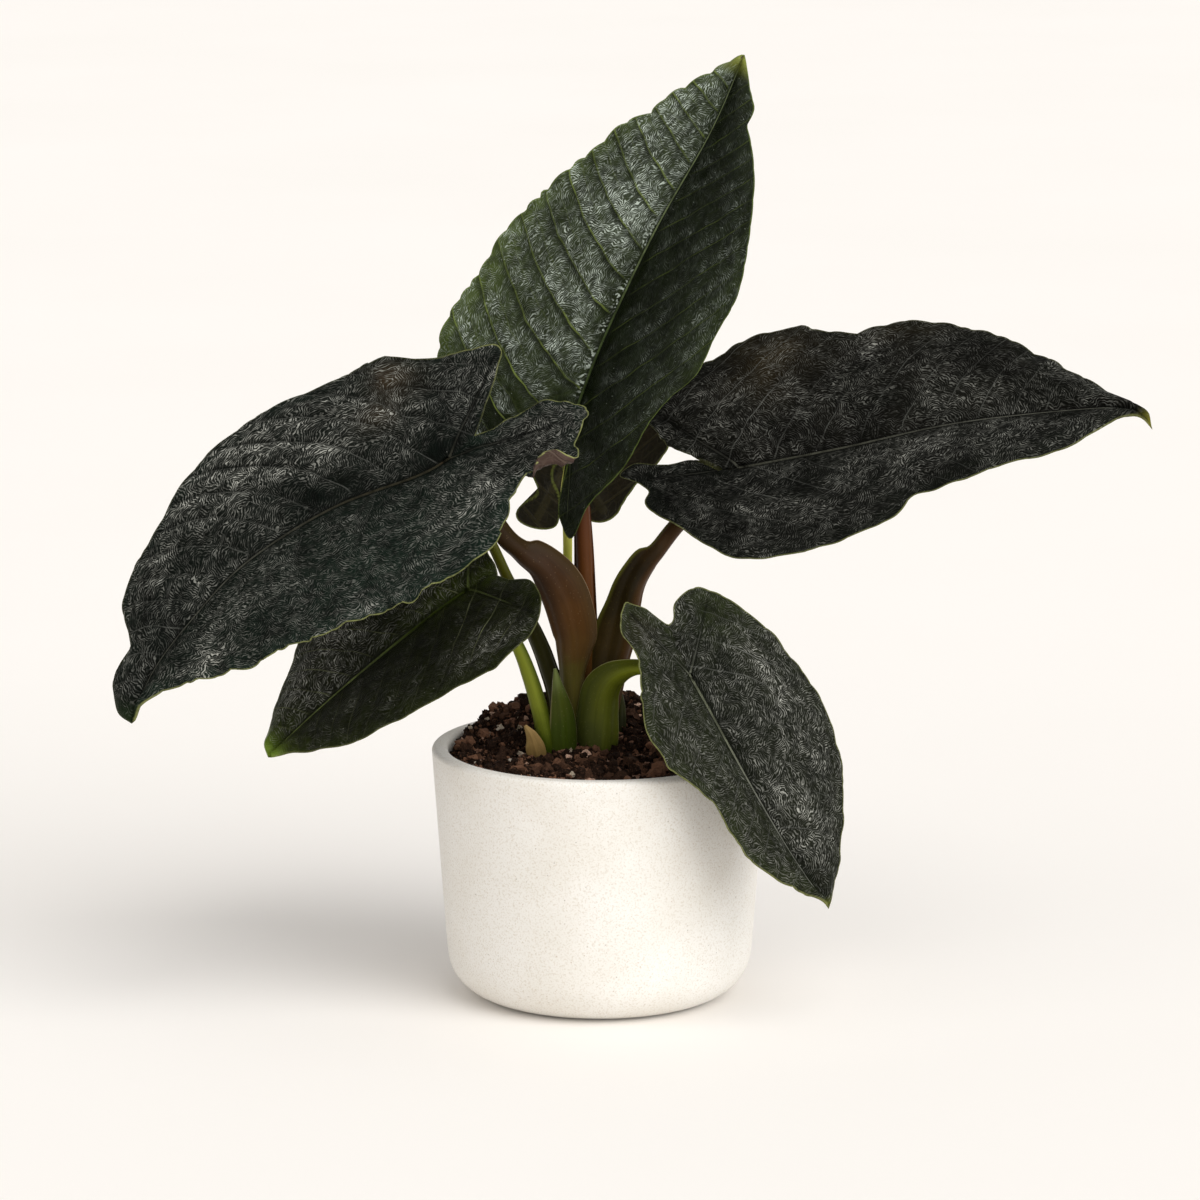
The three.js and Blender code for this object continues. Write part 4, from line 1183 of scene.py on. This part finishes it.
def scatter(name, materials, rng, material, count, sizes, flat, lift, detail):
    """Irregular crumbs over the surface of the mix, as one piece."""
    ball, tris = crumb_form(detail)
    limit = inner_radius(SOIL["level"]) - CRUMBS["margin"]
    points, faces, tones = [], [], []
    for k in range(count):
        size = sizes[0] + (sizes[1] - sizes[0]) * rng.uniform() ** CRUMBS["small"]
        r = (limit - size * 0.5) * math.sqrt(rng.uniform())
        turn = rng.uniform(0, 2 * math.pi)
        x, y = r * math.cos(turn), r * math.sin(turn)
        form = ball * (1 + CRUMBS["uneven"] * rng.normal(size=(len(ball), 1)))
        form = form * size * np.array([1, rng.uniform(0.6, 1), flat * rng.uniform(0.7, 1.1)])
        spin = Matrix.Rotation(rng.uniform(0, 2 * math.pi), 3, "Z")
        tip = Matrix.Rotation(rng.normal() * CRUMBS["tilt"], 3, "X")
        height = float(soil_height(x, y)) + size * flat * lift + rng.uniform(-0.8, 0.6) * size
        points.append(form @ np.array(spin @ tip).T + (x, y, height))
        faces.append(tris + k * len(ball))
        tones.append(np.full((len(ball), 3), rng.uniform()))
    points, faces = np.vstack(points), np.vstack(faces)
    marks = {"tone": np.vstack(tones)}
    piece = add_piece(name, points, faces, [materials[material]], marks=marks)
    piece.data.shade_flat()


def finish_rhizome():
    tree = Tree("rhizome_skin")
    bark = tree.noise(tree.stretch(tree.place(), (1, 1, 3)), 4, 4)
    base = tree.mix(bark.rise(0.3, 0.7), 0x3A2618, 0x7A5638)
    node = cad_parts["rhizome"]
    node.data.materials.clear()
    node.data.materials.append(tree.finish(base, 0.85, bark * 0.8))


# Floor, light and camera

# Half the floor's width, in metres
FLOOR_HALF = 30.0
SKY = dict(tint=(0.995, 0.985, 0.972), strength=0.585)
# Lamps shine from their places, in metres, to the pot's foot; `spread` is in degrees
LAMPS = dict(
    key=dict(energy=1.45, spread=50, tint=(1.0, 0.985, 0.96), place=(1.1, -1.5, 2.3)),
    window=dict(energy=1.2, spread=50, tint=(0.94, 0.97, 1.0), place=(1.35, -1.0, 0.45)),
    fill=dict(energy=0.3, spread=60, tint=(1.0, 0.99, 0.98), place=(-1.4, -1.2, 0.9)),
)


def make_floor():
    corners = [(x * FLOOR_HALF, y * FLOOR_HALF, 0) for x, y in ((-1, -1), (1, -1), (1, 1), (-1, 1))]
    mesh = bpy.data.meshes.new("floor")
    mesh.from_pydata(corners, [], [(0, 1, 2, 3)])
    tree = Tree("floor_paper")
    base = tree.mix(tree.noise(tree.place(), 400, 3), 0xFAF6F2, 0xF6F2ED)
    mesh.materials.append(tree.finish(base, 0.9, Specular_IOR_Level=0.1))
    floor = add_object("floor", mesh)


def make_light():
    world = bpy.data.worlds.new("studio")
    bpy.context.scene.world = world
    world.use_nodes = True
    background = world.node_tree.nodes["Background"]
    background.inputs["Color"].default_value = (*SKY["tint"], 1)
    background.inputs["Strength"].default_value = SKY["strength"]
    for name, row in LAMPS.items():
        sun = bpy.data.lights.new(name, "SUN")
        sun.energy = row["energy"]
        sun.angle = math.radians(row["spread"])
        sun.color = row["tint"]
        lamp = add_object(name, sun)
        lamp.location = row["place"]
        lamp.rotation_euler = (-lamp.location).to_track_quat("-Z", "Y").to_euler()


def make_camera():
    lens = bpy.data.cameras.new("camera")
    lens.lens = CAMERA["lens"]
    lens.sensor_width = CAMERA["sensor"]
    lens.clip_end = 100
    camera = add_object("camera", lens)
    camera.location = CAMERA["place"]
    camera.rotation_euler = (math.radians(90 - CAMERA["dip"]), 0, 0)
    bpy.context.scene.camera = camera
    bpy.context.scene.view_settings.view_transform = "Standard"


make_camera()
make_floor()
make_light()
make_pot()
make_soil()
finish_rhizome()
make_stalks()
make_blades()
